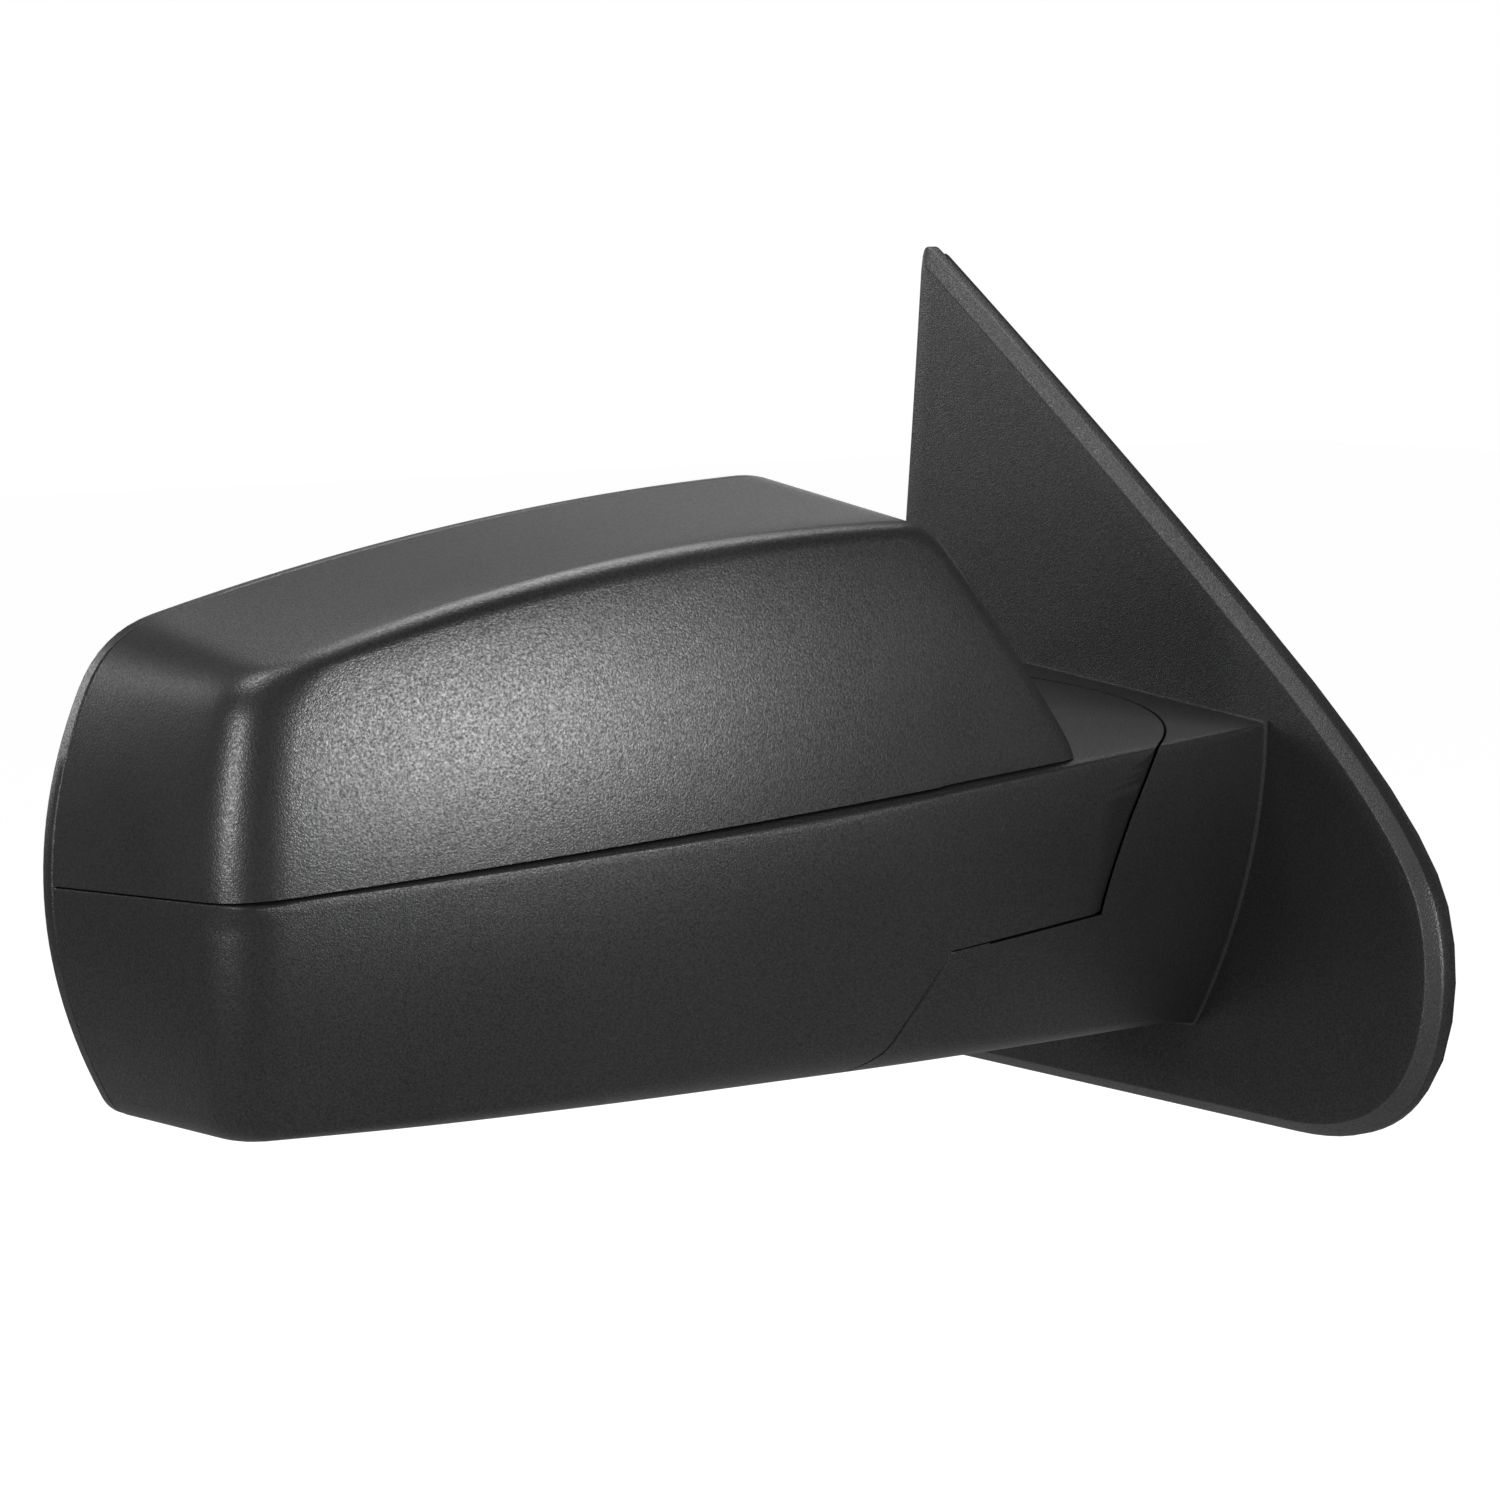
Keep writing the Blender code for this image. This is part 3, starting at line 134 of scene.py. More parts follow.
def outline(edges, cuts, edge_points, corner_points):
    """The edges joined by rounds, each round taking its cut's length from the two edges that it joins."""
    spans = []
    for k, edge in enumerate(edges):
        steps = [edge(i / LENGTH_STEPS) for i in range(LENGTH_STEPS + 1)]
        length = sum(math.dist(a, b) for a, b in zip(steps, steps[1:]))
        spans.append((cuts[k] / length, 1 - cuts[(k + 1) % len(edges)] / length))
    points = []
    for k, edge in enumerate(edges):
        before, (first, last) = edges[k - 1], spans[k]
        ended = spans[k - 1][1]
        p, q = before(ended), edge(first)
        bend = meeting_point(p, tangent(before, ended), q, tangent(edge, first))
        for i in range(1, corner_points):
            t = i / corner_points
            weights = ((1 - t) ** 2, 2 * t * (1 - t), t * t)
            points.append(tuple(sum(w * c[n] for w, c in zip(weights, (p, bend, q))) for n in (0, 1)))
        for i in range(edge_points[k] + 1):
            points.append(edge(first + (last - first) * i / edge_points[k]))
    return points


def arc(start, end, bulge):
    """A shallow curve from start to end that stands out by bulge in its middle."""
    dx, dz = end[0] - start[0], end[1] - start[1]
    length = math.hypot(dx, dz)

    def edge(t):
        swell = 4 * bulge * t * (1 - t) / length
        return start[0] + dx * t - dz * swell, start[1] + dz * t + dx * swell

    return edge


def rounded(corners, bulges, cuts, distances, edge_points, corner_points=8):
    """The rounded outline through the corners, with each edge moved in by its distance."""
    count = len(corners)
    lines = []
    for k in range(count):
        a, b = corners[k], corners[(k + 1) % count]
        length = math.dist(a, b)
        d = ((b[0] - a[0]) / length, (b[1] - a[1]) / length)
        lines.append(((a[0] + d[1] * distances[k], a[1] - d[0] * distances[k]), d))
    moved = [meeting_point(*lines[k - 1], *lines[k]) for k in range(count)]
    edges = [arc(moved[k], moved[(k + 1) % count], bulges[k]) for k in range(count)]
    less = max(distances)
    trims = [max(cut - CUT_LOSS * less, min(cut, LEAST_CUT)) if less > 0 else cut - less for cut in cuts]
    return outline(edges, trims, edge_points, corner_points)


def seam_height(x):
    return SEAM_Z + SEAM_SLOPE * (x - SEAM_X)


def front_depth(x):
    return FRONT_Y + FRONT_SWEEP * min(0.0, x - FRONT_X) ** 2


def cap_face(x, z):
    return front_depth(x) + CAP_CROWN * max(0.0, z - seam_height(x)) ** 2


def housing_face(x, z):
    proud = SHOULDER * min(1.0, max(0.0, (x - FACE_TIP) / SHOULDER_RUN))
    return front_depth(x) - proud + UNDERCUT * max(0.0, seam_height(x) - z) ** 2


def head_outline(distance):
    corners = (
        (HEAD_TIP, HEAD_BOTTOM), (HEAD_TIP, HEAD_TOP - HEAD_TOP_DROP), (HEAD_INNER, HEAD_TOP),
        (HEAD_INNER_MID_X, HEAD_INNER_MID_Z), (HEAD_INNER_LOW, HEAD_BOTTOM))
    bulges = (HEAD_TIP_BULGE, HEAD_TOP_BULGE, 0.0, 0.0, 0.0)
    cuts = [max(cut, RIM_CUT_GROWTH * distance) for cut in POD_RIM_CUTS]
    return rounded(corners, bulges, cuts, (distance,) * 5, POD_EDGES)


def face_outline(distance):
    corners = (
        (FACE_TIP, FACE_BOTTOM), (FACE_TIP, FACE_TOP - FACE_TOP_DROP), (FACE_INNER, FACE_TOP),
        (FACE_INNER_MID_X, FACE_INNER_MID_Z), (FACE_INNER_LOW, FACE_BOTTOM))
    bulges = (FACE_TIP_BULGE, FACE_TOP_BULGE, 0.0, 0.0, 0.0)
    return rounded(corners, bulges, POD_FACE_CUTS, (distance,) * 5, POD_EDGES)


def tip_point(corner, low, top, bulge):
    """Where the seam meets the bulged tip, as x and z, and the bulge that is left below it."""
    share = (seam_height(corner - bulge) - low) / (top - low)
    return corner - 4 * bulge * share * (1 - share), low + (top - low) * share, bulge * share * share


def beam_rim(distance, door):
    x, z, bulge = tip_point(HEAD_TIP, HEAD_BOTTOM, HEAD_TOP - HEAD_TOP_DROP, HEAD_TIP_BULGE)
    step = ARM_CREST_X - ARM_STEP
    corners = (
        (HEAD_TIP, HEAD_BOTTOM), (x, z), (step, seam_height(step)),
        (ARM_CREST_X, ARM_TOP), (door, ARM_TOP), (door, ARM_BOTTOM))
    bulges, distances = (bulge, 0, 0, 0, 0, 0), (distance,) * 4 + (0.0, distance)
    return rounded(corners, bulges, BEAM_RIM_CUTS, distances, BEAM_EDGES)


def beam_crease(distance, door):
    x, z, bulge = tip_point(FACE_TIP, FACE_BOTTOM, FACE_TOP - FACE_TOP_DROP, FACE_TIP_BULGE)
    step = ARM_CREST_X - ARM_STEP
    corners = (
        (FACE_TIP, BEAM_FACE_BOTTOM), (x, z), (step, seam_height(step)),
        (ARM_CREST_X, seam_height(ARM_CREST_X)), (door, seam_height(door)), (door, BEAM_FACE_BOTTOM))
    bulges, distances = (bulge, 0, 0, 0, 0, 0), (distance,) * 4 + (0.0, distance)
    return rounded(corners, bulges, BEAM_FACE_CUTS, distances, BEAM_EDGES)


def sail_outline(distance):
    corners = (
        (SAIL_REAR, SAIL_BOTTOM), (SAIL_LOW_Y, SAIL_BOTTOM),
        (SAIL_NOSE_Y, SAIL_NOSE_Z), (SAIL_TOP_Y, SAIL_TOP_Z))
    bulges = (0.0, SAIL_NOSE_BULGE, SAIL_FRONT_BULGE, SAIL_BACK_BULGE)
    cuts = (SAIL_HEEL_CUT, SAIL_LOW_CUT, SAIL_NOSE_CUT, SAIL_TIP_CUT)
    return rounded(corners, bulges, cuts, (distance,) * 4, SAIL_EDGES, SAIL_CORNER)


# ---------------------------------------------------------------- mesh helpers

MERGE, FLAT = 1e-6, 1e-7


def mesh_object(name, points, faces):
    """A closed mesh with its faces pointing out. Faces with more bend than FLAT are split into triangles."""
    mesh = bpy.data.meshes.new(name)
    mesh.from_pydata([tuple(p) for p in points], [], faces)
    shape = bmesh.new()
    shape.from_mesh(mesh)
    bmesh.ops.remove_doubles(shape, verts=shape.verts, dist=MERGE)
    bmesh.ops.delete(shape, geom=[e for e in shape.edges if not e.link_faces], context="EDGES")
    bmesh.ops.recalc_face_normals(shape, faces=shape.faces)
    bent = []
    for face in shape.faces:
        centre = face.calc_center_median()
        if max(abs((v.co - centre).dot(face.normal)) for v in face.verts) > FLAT:
            bent.append(face)
    bmesh.ops.triangulate(shape, faces=bent)
    shape.to_mesh(mesh)
    shape.free()
    obj = bpy.data.objects.new(name, mesh)
    bpy.context.scene.collection.objects.link(obj)
    return obj


def ring_faces(count, rings):
    faces = []
    for row in range(rings - 1):
        for i in range(count):
            j = (i + 1) % count
            faces.append((row * count + i, row * count + j, (row + 1) * count + j, (row + 1) * count + i))
    return faces


def loft(name, rings):
    """A solid through the rings, closed by its first and last ring."""
    count = len(rings[0])
    points = [p for ring in rings for p in ring]
    faces = ring_faces(count, len(rings))
    faces.append(tuple(range(count)))
    faces.append(tuple(range(len(points) - count, len(points))))
    return mesh_object(name, points, faces)


def band(name, rings):
    """A hoop through the rings, with its last ring joined to its first."""
    rings = rings + [rings[0]]
    return mesh_object(name, [p for ring in rings for p in ring], ring_faces(len(rings[0]), len(rings)))


def revolve(name, profile, place, steps=48):
    """The (radius, height) profile turned about Z and then placed. It is solid if it starts on the axis."""
    turns = [2 * math.pi * (k + 0.5) / steps for k in range(steps)]

    def spot(radius, height, turn):
        return place @ Vector((radius * math.cos(turn), radius * math.sin(turn), height))

    if profile[0][0] == 0:
        return loft(name, [[spot(r, h, turn) for turn in turns] for r, h in profile[1:-1]])
    return band(name, [[spot(r, h, turn) for r, h in profile] for turn in turns])


def box(name, low, high, place=Matrix.Identity(4)):
    corners = [(x, y, z) for x in (low[0], high[0]) for y in (low[1], high[1]) for z in (low[2], high[2])]
    faces = [(0, 1, 3, 2), (4, 6, 7, 5), (0, 4, 5, 1), (2, 3, 7, 6), (0, 2, 6, 4), (1, 5, 7, 3)]
    return mesh_object(name, [place @ Vector(c) for c in corners], faces)


def prism_y(name, points, low, high):
    return loft(name, [[(x, y, z) for x, z in points] for y in (low, high)])


HELPERS = []


def boolean(target, operation, other):
    step = target.modifiers.new(operation.lower(), "BOOLEAN")
    step.operation = operation
    step.solver = "EXACT"
    step.object = other
    HELPERS.append(other)


def settle(obj):
    """Applies every modifier by taking the evaluated mesh."""
    graph = bpy.context.evaluated_depsgraph_get()
    mesh = bpy.data.meshes.new_from_object(obj.evaluated_get(graph))
    obj.modifiers.clear()
    obj.data = mesh
    return obj


EDGE_ROUND, EDGE_STEPS, EDGE_ANGLE, FOOT_EDGE_ANGLE = 0.0005, 3, 38, 30


def soften(obj, angle=EDGE_ANGLE):
    """Small rounds on the sharp edges that the cuts leave. The large faces keep their own shading."""
    obj.data.shade_smooth()
    obj.data.set_sharp_from_angle(angle=math.radians(angle))
    bevel = obj.modifiers.new("edges", "BEVEL")
    bevel.width = EDGE_ROUND
    bevel.segments = EDGE_STEPS
    bevel.limit_method = "ANGLE"
    bevel.angle_limit = math.radians(angle)
    bevel.use_clamp_overlap = True
    bevel.harden_normals = True
    return settle(obj)


def finish_mesh(obj, sharp):
    """Smooth shading, except at edges over sharp degrees."""
    obj.data.shade_smooth()
    obj.data.set_sharp_from_angle(angle=math.radians(sharp))
    return obj


# ---------------------------------------------------------------- the covers' forms

POD_LOW, POD_LOW_ROUND = -0.020, 0.018
POD_ROUND, POD_CORNER_ROUND, POD_CORNER_RUN = 0.0065, 0.0085, 0.020
SEAL_ROUND, SEAL_REACH = 0.0012, 0.004
CREST_ROUND, CREST_REACH, BEAM_ROUND = 0.0045, 0.004, 0.015
BEAM_CORNER_ROUND, BEAM_CORNER_START, BEAM_CORNER_RUN = 0.004, 0.010, 0.012


def smooth(t):
    """An even rise from 0 to 1."""
    t = min(1.0, max(0.0, t))
    return t * t * (3 - 2 * t)


def pod_rounding(x, z):
    """The cap's rounding at its crease, larger at the outboard corner."""
    if z < POD_LOW:
        return POD_LOW_ROUND
    return POD_ROUND + POD_CORNER_ROUND * smooth((FACE_TIP + POD_CORNER_RUN - x) / POD_CORNER_RUN)


def beam_rounding(x, z):
    """The housing's rounding: least at the sail, small along its top edge and large underneath."""
    if x > -SAIL_T - SEAL_REACH:
        return SEAL_ROUND
    if z > seam_height(x) - CREST_REACH:
        return CREST_ROUND + BEAM_CORNER_ROUND * smooth((FACE_TIP + BEAM_CORNER_START - x) / BEAM_CORNER_RUN)
    return BEAM_ROUND


MOST_ROUND, FACE_REACH = 0.45, 0.97


def pillow_rings(rim, crease, rear, depth_at, rounding, behind, counts):
    """Rings from behind the rim at the rear, round the crease and over the front face to near its centre."""
    wall_rings, round_rings, face_rings = counts
    count = len(crease)
    centre = Vector((sum(p[0] for p in crease) / count, sum(p[1] for p in crease) / count))
    rings = [[] for _ in range(wall_rings + round_rings + face_rings)]
    for (rx, rz), (cx, cz) in zip(rim, crease):
        back = Vector((rx, rear, rz))
        edge = Vector((cx, depth_at(cx, cz), cz))
        size = rounding(cx, cz)
        back += (back - edge) * (behind / (rear - edge.y))
        inward = centre - Vector((cx, cz))
        share = min(MOST_ROUND, size / inward.length)
        near = Vector((cx, cz)) + inward * share
        first = edge + (back - edge).normalized() * size
        last = Vector((near.x, depth_at(near.x, near.y), near.y))
        for i in range(wall_rings):
            rings[i].append(back.lerp(first, i / wall_rings))
        for i in range(round_rings):
            t = i / (round_rings - 1)
            rings[wall_rings + i].append(first * (1 - t) ** 2 + edge * 2 * t * (1 - t) + last * t * t)
        for i in range(face_rings):
            spot = Vector((near.x, near.y)).lerp(centre, FACE_REACH * (i + 1) / face_rings)
            rings[wall_rings + round_rings + i].append(Vector((spot.x, depth_at(spot.x, spot.y), spot.y)))
    return rings


POD_THROUGH = 0.010   # how far the cap's hollow runs out of its open back
BEAM_SINK, BEAM_HOLLOW_SINK = 0.0015, 0.006   # how far the beam and its hollow reach into the sail


def pod_form(name, shrink=0.0):
    """The head's upper form, or its hollow when shrink is over 0."""
    counts = FINE_RINGS if shrink == 0 else HOLLOW_RINGS
    behind = POD_THROUGH if shrink > 0 else 0.0
    return loft(name, pillow_rings(
        head_outline(shrink), face_outline(shrink), HEAD_REAR,
        lambda x, z: cap_face(x, z) + shrink, pod_rounding, behind, counts))


def beam_form(name, shrink=0.0):
    """The lower form, from the tip to the sail: its hollow when shrink is over 0, a larger copy below 0."""
    counts = FINE_RINGS if shrink <= 0 else HOLLOW_RINGS
    door = -SAIL_T + (BEAM_HOLLOW_SINK if shrink > 0 else BEAM_SINK)
    return loft(name, pillow_rings(
        beam_rim(shrink, door), beam_crease(shrink, door), HEAD_REAR - shrink,
        lambda x, z: housing_face(x, z) + shrink, beam_rounding, 0.0, counts))


FOLD = Matrix.Translation((FOLD_X, FOLD_Y, FOLD_Z)) @ Matrix.Rotation(-FOLD_TILT, 4, "Y")
HEAD_SIDE, FOOT_SIDE = -0.420, 0.120   # how far the cutting boxes reach to each side of the fold axis
BOX_DEEP, BOX_LOW, BOX_HIGH = 0.200, -0.120, 0.200
DRUM_STEPS = 160


def drum(name, profile, grow, base):
    """A round end about the fold axis, its radii larger by grow."""
    rows = [(0.0, base)] + [(r + grow, base if k == 0 else h) for k, (h, r) in enumerate(profile)]
    rows.append((0.0, profile[-1][0]))
    return revolve(name, rows, FOLD, DRUM_STEPS)


def keep_head(target, shrink):
    """Cuts target back to the head's side of the fold, shrink short of it."""
    zone = box("zone", (HEAD_SIDE, -BOX_DEEP, BOX_LOW), (-shrink, BOX_DEEP, BOX_HIGH), FOLD)
    room = FOLD_GAP / 2 + shrink
    boolean(zone, "UNION", drum("head_drum", HEAD_DRUM, -FOLD_GAP / 2 - shrink, 0.0))
    boolean(target, "INTERSECT", zone)
    boolean(target, "DIFFERENCE", drum("foot_room", FOOT_DRUM, room, room))


def keep_foot(target, shrink):
    """Cuts target back to the foot's side of the fold, shrink short of it."""
    zone = box("zone", (shrink, -BOX_DEEP, BOX_LOW), (FOOT_SIDE, BOX_DEEP, BOX_HIGH), FOLD)
    room = FOLD_GAP / 2 + shrink
    boolean(zone, "UNION", drum("foot_drum", FOOT_DRUM, -FOLD_GAP / 2 - shrink, 0.0))
    boolean(target, "INTERSECT", zone)
    boolean(target, "DIFFERENCE", drum("head_room", HEAD_DRUM, room, -FOLD_GAP / 2 - shrink))


HOUSING_NECK, FOOT_NECK = (-0.004, 0.010), (-0.012, 0.004)


def neck_hole(low, high):
    """The bore that the neck round the pivot post passes through, between two heights on the fold axis."""
    r = NECK_R + 2 * GAP
    return revolve("neck", [(0, low), (r, low), (r, high), (0, high)], FOLD)


ABOVE_SEAM = ((-0.1, -0.3, 0.0), (0.5, 0.3, 0.3))   # a box that holds all of the head above the seam


def mirror_cap():
    cap = pod_form("cap_shell")
    tilt = Matrix.Rotation(-math.atan(SEAM_SLOPE), 4, "Y")
    seam = Matrix.Translation((SEAM_X, 0, SEAM_Z + PANEL_GAP)) @ tilt
    boolean(cap, "INTERSECT", box("above", *ABOVE_SEAM, seam))
    boolean(cap, "DIFFERENCE", beam_form("arm_room", -PANEL_GAP))
    boolean(cap, "DIFFERENCE", pod_form("cap_hollow", CAP_WALL))
    return soften(settle(cap))


# The opening in the housing's top for the frame, and the depths that the two rear openings start from.
DECK_TIP, DECK_INNER, DECK_FRONT, DECK_REAR, DECK_TOP = 0.0229, 0.0383, -0.0495, 0.050, 0.090
TUNNEL_FRONT, REAR_FRONT, OPENING_REAR = -0.016, 0.0214, 0.050


def lower_housing():
    shell = beam_form("housing_shell")
    keep_head(shell, 0.0)
    hollow = beam_form("housing_hollow", HOUSING_WALL)
    keep_head(hollow, HOUSING_WALL)
    boolean(shell, "DIFFERENCE", hollow)
    low, high = (HEAD_TIP + DECK_TIP, DECK_FRONT, 0.0), (HEAD_INNER - DECK_INNER, DECK_REAR, DECK_TOP)
    boolean(shell, "DIFFERENCE", box("deck", low, high))
    tunnel = head_outline(OPENING_INSET - BEZEL_WALL - BEZEL_ROOM)
    boolean(shell, "DIFFERENCE", prism_y("tunnel", tunnel, TUNNEL_FRONT, OPENING_REAR))
    boolean(shell, "DIFFERENCE", prism_y("rear", head_outline(HOUSING_WALL), REAR_FRONT, OPENING_REAR))
    boolean(shell, "DIFFERENCE", neck_hole(*HOUSING_NECK))
    return soften(settle(shell))


def sail_loft(name, layers):
    return loft(name, [[(x, y, z) for y, z in sail_outline(inset)] for x, inset in layers])


SLIVER = 0.0001               # slack when a face's depth is compared with an edge's
CHAMFER_TURN = (0.35, 0.93)   # how far a chamfer face's normal points to the outer side


def foot_cover():
    back, side, outer = -GASKET_T - GAP, -SAIL_T + SAIL_BEVEL, -SAIL_T
    # Each layer is a depth in X and an inset: a small break at the back, the side, then the chamfer and the
    # face, with the edges between them eased.
    layers = [(back, 0.0003), (back - 0.0003, 0.0), (side + 0.0007, 0.0), (side + 0.0002, 0.00015)]
    layers += [(side - 0.0004, 0.0006), (outer + 0.0004, SAIL_CHAMFER - 0.0004)]
    layers += [(outer + 0.0001, SAIL_CHAMFER), (outer, SAIL_CHAMFER + 0.0005), (outer, SAIL_FACE_INSET)]
    cover = sail_loft("foot_shell", layers)
    foot = beam_form("foot_form")
    keep_foot(foot, 0.0)
    boolean(cover, "UNION", foot)
    collar = beam_form("foot_collar", -COLLAR_PROUD)
    collar_low, collar_high = (-SAIL_T - COLLAR_DEEP, -0.2, -0.2), (-SAIL_T + 0.001, 0.2, 0.2)
    boolean(collar, "INTERSECT", box("collar_zone", collar_low, collar_high))
    boolean(cover, "UNION", collar)
    hollow_layers = ((0.001, SAIL_WALL), (outer + SAIL_WALL, SAIL_WALL))
    boolean(cover, "DIFFERENCE", sail_loft("sail_hollow", hollow_layers))
    hollow = beam_form("foot_hollow", HOUSING_WALL)
    keep_foot(hollow, HOUSING_WALL)
    boolean(cover, "DIFFERENCE", hollow)
    boolean(cover, "DIFFERENCE", neck_hole(*FOOT_NECK))
    soften(settle(cover), FOOT_EDGE_ANGLE)
    # The second material is the lighter copy of the satin: faces on the chamfer and on the collar take it as
    # a painted highlight along these edges.
    cover.data.materials.append(SATIN)
    cover.data.materials.append(PAINTED_EDGE_HIGHLIGHT)
    for face in cover.data.polygons:
        depth = face.center.x + SAIL_T
        turned = CHAMFER_TURN[0] < -face.normal.x < CHAMFER_TURN[1]
        on_chamfer = -SLIVER < depth < SAIL_BEVEL + SLIVER and turned
        on_collar = -COLLAR_DEEP - SLIVER < depth < -SLIVER / 2
        face.material_index = 1 if on_chamfer or on_collar else 0
    return cover


def rear_bezel():
    rear, tunnel, inner, steps = BEZEL_REAR, BEZEL_TUNNEL, OPENING_INSET, BEZEL_ROUND_STEPS
    outer, plate, skirt = inner - BEZEL_WALL, rear - BEZEL_PLATE, BEZEL_SKIRT_IN + BEZEL_SKIRT_T
    turns = [math.pi / 2 * k / steps for k in range(1, steps + 1)]
    # The section is a list of insets and depths: the eased front edge, the rim's round, the plate, the
    # mouth's round, the tunnel round the glass, and the skirt that goes inside the housing.
    section = [(0.0012, HEAD_REAR + GAP), (0.0003, HEAD_REAR + 0.0009), (0.0, HEAD_REAR + 0.0014)]
    section.append((0.0, rear - RIM_ROUND_DEEP))
    for turn in turns:
        depth = rear - RIM_ROUND_DEEP + RIM_ROUND_DEEP * math.sin(turn)
        section.append((RIM_ROUND_IN * (1 - math.cos(turn)), depth))
    section += [(0.008, rear), (inner - MOUTH_ROUND_IN, rear)]
    for turn in turns:
        inset = inner - MOUTH_ROUND_IN + MOUTH_ROUND_IN * math.sin(turn)
        section.append((inset, rear - MOUTH_ROUND_DEEP * (1 - math.cos(turn))))
    section += [(inner, 0.018), (inner, tunnel), (outer, tunnel), (outer, plate), (skirt, plate)]
    section += [(skirt, BEZEL_SKIRT_FRONT), (BEZEL_SKIRT_IN, BEZEL_SKIRT_FRONT)]
    section.append((BEZEL_SKIRT_IN, HEAD_REAR + GAP))
    rings = [[(x, y, z) for x, z in head_outline(inset)] for inset, y in section]
    return finish_mesh(band("bezel_ring", rings), BEZEL_SHARP)


def dome_ring(points, scale, y):
    """The points drawn in towards the glass's centre, on its shallow dome."""
    ring = []
    for x, z in points:
        dx, dz = (x - GLASS_X) * scale, (z - GLASS_Z) * scale
        ring.append((GLASS_X + dx, y - (dx * dx + dz * dz) / (2 * GLASS_RADIUS), GLASS_Z + dz))
    return ring


def mirror_glass():
    edge = OPENING_INSET + GLASS_MARGIN + LIP + GLASS_SLACK
    points, inner = head_outline(edge), head_outline(edge + GLASS_BREAK)
    scales = [k / GLASS_RINGS for k in range(1, GLASS_RINGS + 1)]
    rings = [dome_ring(points, s, GLASS_Y - GLASS_T) for s in scales]
    rings.append(dome_ring(points, 1.0, GLASS_Y - GLASS_BREAK))
    rings += [dome_ring(inner, s, GLASS_Y) for s in reversed(scales)]
    return finish_mesh(loft("mirror_pane", rings), GLASS_SHARP)


# ---------------------------------------------------------------- materials

def new_material(name, colour, roughness, metallic=0.0, specular=0.5):
    mat = bpy.data.materials.new(name)
    mat.use_nodes = True
    shader = mat.node_tree.nodes["Principled BSDF"]
    shader.inputs["Base Color"].default_value = (*colour, 1.0)
    shader.inputs["Roughness"].default_value = roughness
    shader.inputs["Metallic"].default_value = metallic
    shader.inputs["Specular IOR Level"].default_value = specular
    return mat, mat.node_tree.nodes, mat.node_tree.links, shader


def ramp(nodes, low, high, low_value, high_value):
    """A Map Range node: low to high becomes low_value to high_value."""
    node = nodes.new("ShaderNodeMapRange")
    node.inputs["From Min"].default_value = low
    node.inputs["From Max"].default_value = high
    node.inputs["To Min"].default_value = low_value
    node.inputs["To Max"].default_value = high_value
    return node


# The places of a colour Mix node's sockets.
MIX_FACTOR, MIX_A, MIX_B, MIX_RESULT = 0, 6, 7, 2


def two_colours(nodes, links, factor, low, high):
    mix = nodes.new("ShaderNodeMix")
    mix.data_type = "RGBA"
    mix.inputs[MIX_A].default_value = (*low, 1.0)
    mix.inputs[MIX_B].default_value = (*high, 1.0)
    links.new(factor, mix.inputs[MIX_FACTOR])
    return mix.outputs[MIX_RESULT]


def scaled_sum(nodes, links, value, scale, added):
    """value times scale, plus added."""
    node = nodes.new("ShaderNodeMath")
    node.operation = "MULTIPLY_ADD"
    node.inputs[1].default_value = scale
    links.new(value, node.inputs[0])
    links.new(added, node.inputs[2])
    return node.outputs["Value"]


def bumped(nodes, links, shader, height, depth, strength):
    bump = nodes.new("ShaderNodeBump")
    bump.inputs["Strength"].default_value = strength
    bump.inputs["Distance"].default_value = depth
    links.new(height, bump.inputs["Height"])
    links.new(bump.outputs["Normal"], shader.inputs["Normal"])


def noise(nodes, links, place, scale, detail=2.0, rough=0.5):
    node = nodes.new("ShaderNodeTexNoise")
    node.inputs["Scale"].default_value = scale
    node.inputs["Detail"].default_value = detail
    node.inputs["Roughness"].default_value = rough
    links.new(place, node.inputs["Vector"])
    return node.outputs["Fac"]


BROAD_SCALE = 14.0        # the slow change of tone over a whole moulding
FINE_SCALE = 0.8          # the fine noise's scale, as a share of the grain's
FINE_IN_BUMP = 0.6
FINE_IN_TONE, BROAD_IN_TONE = 0.55, 0.45
GLOSS_SPREAD = 0.05
SHEEN_LOW, SHEEN_HIGH = 0.55, 1.45


def grained(name, dark, light, roughness, grain, depth, strength, specular=0.45):
    """Moulded plastic with a stippled grain: pits in the bump, speckle in the colour, gloss and sheen."""
    mat, nodes, links, shader = new_material(name, dark, roughness, 0.0, specular)
    place = nodes.new("ShaderNodeTexCoord").outputs["Object"]
    cells = nodes.new("ShaderNodeTexVoronoi")
    cells.inputs["Scale"].default_value = grain
    cells.inputs["Randomness"].default_value = 1.0
    links.new(place, cells.inputs["Vector"])
    fine = noise(nodes, links, place, grain * FINE_SCALE, 3.0, 0.65)
    broad = noise(nodes, links, place, BROAD_SCALE, 3.0, 0.5)

    pits = ramp(nodes, 0.05, 0.62, 0.0, 1.0)
    links.new(cells.outputs["Distance"], pits.inputs["Value"])
    height = scaled_sum(nodes, links, fine, FINE_IN_BUMP, pits.outputs["Result"])
    bumped(nodes, links, shader, height, depth, strength)

    patches = ramp(nodes, 0.3, 0.7, 0.0, BROAD_IN_TONE)
    links.new(broad, patches.inputs["Value"])
    tone = scaled_sum(nodes, links, fine, FINE_IN_TONE, patches.outputs["Result"])
    links.new(two_colours(nodes, links, tone, dark, light), shader.inputs["Base Color"])

    gloss = ramp(nodes, 0.25, 0.75, roughness + GLOSS_SPREAD, roughness - GLOSS_SPREAD)
    links.new(fine, gloss.inputs["Value"])
    links.new(gloss.outputs["Result"], shader.inputs["Roughness"])
    sheen = ramp(nodes, 0.35, 0.65, specular * SHEEN_LOW, specular * SHEEN_HIGH)
    links.new(fine, sheen.inputs["Value"])
    links.new(sheen.outputs["Result"], shader.inputs["Specular IOR Level"])
    return mat


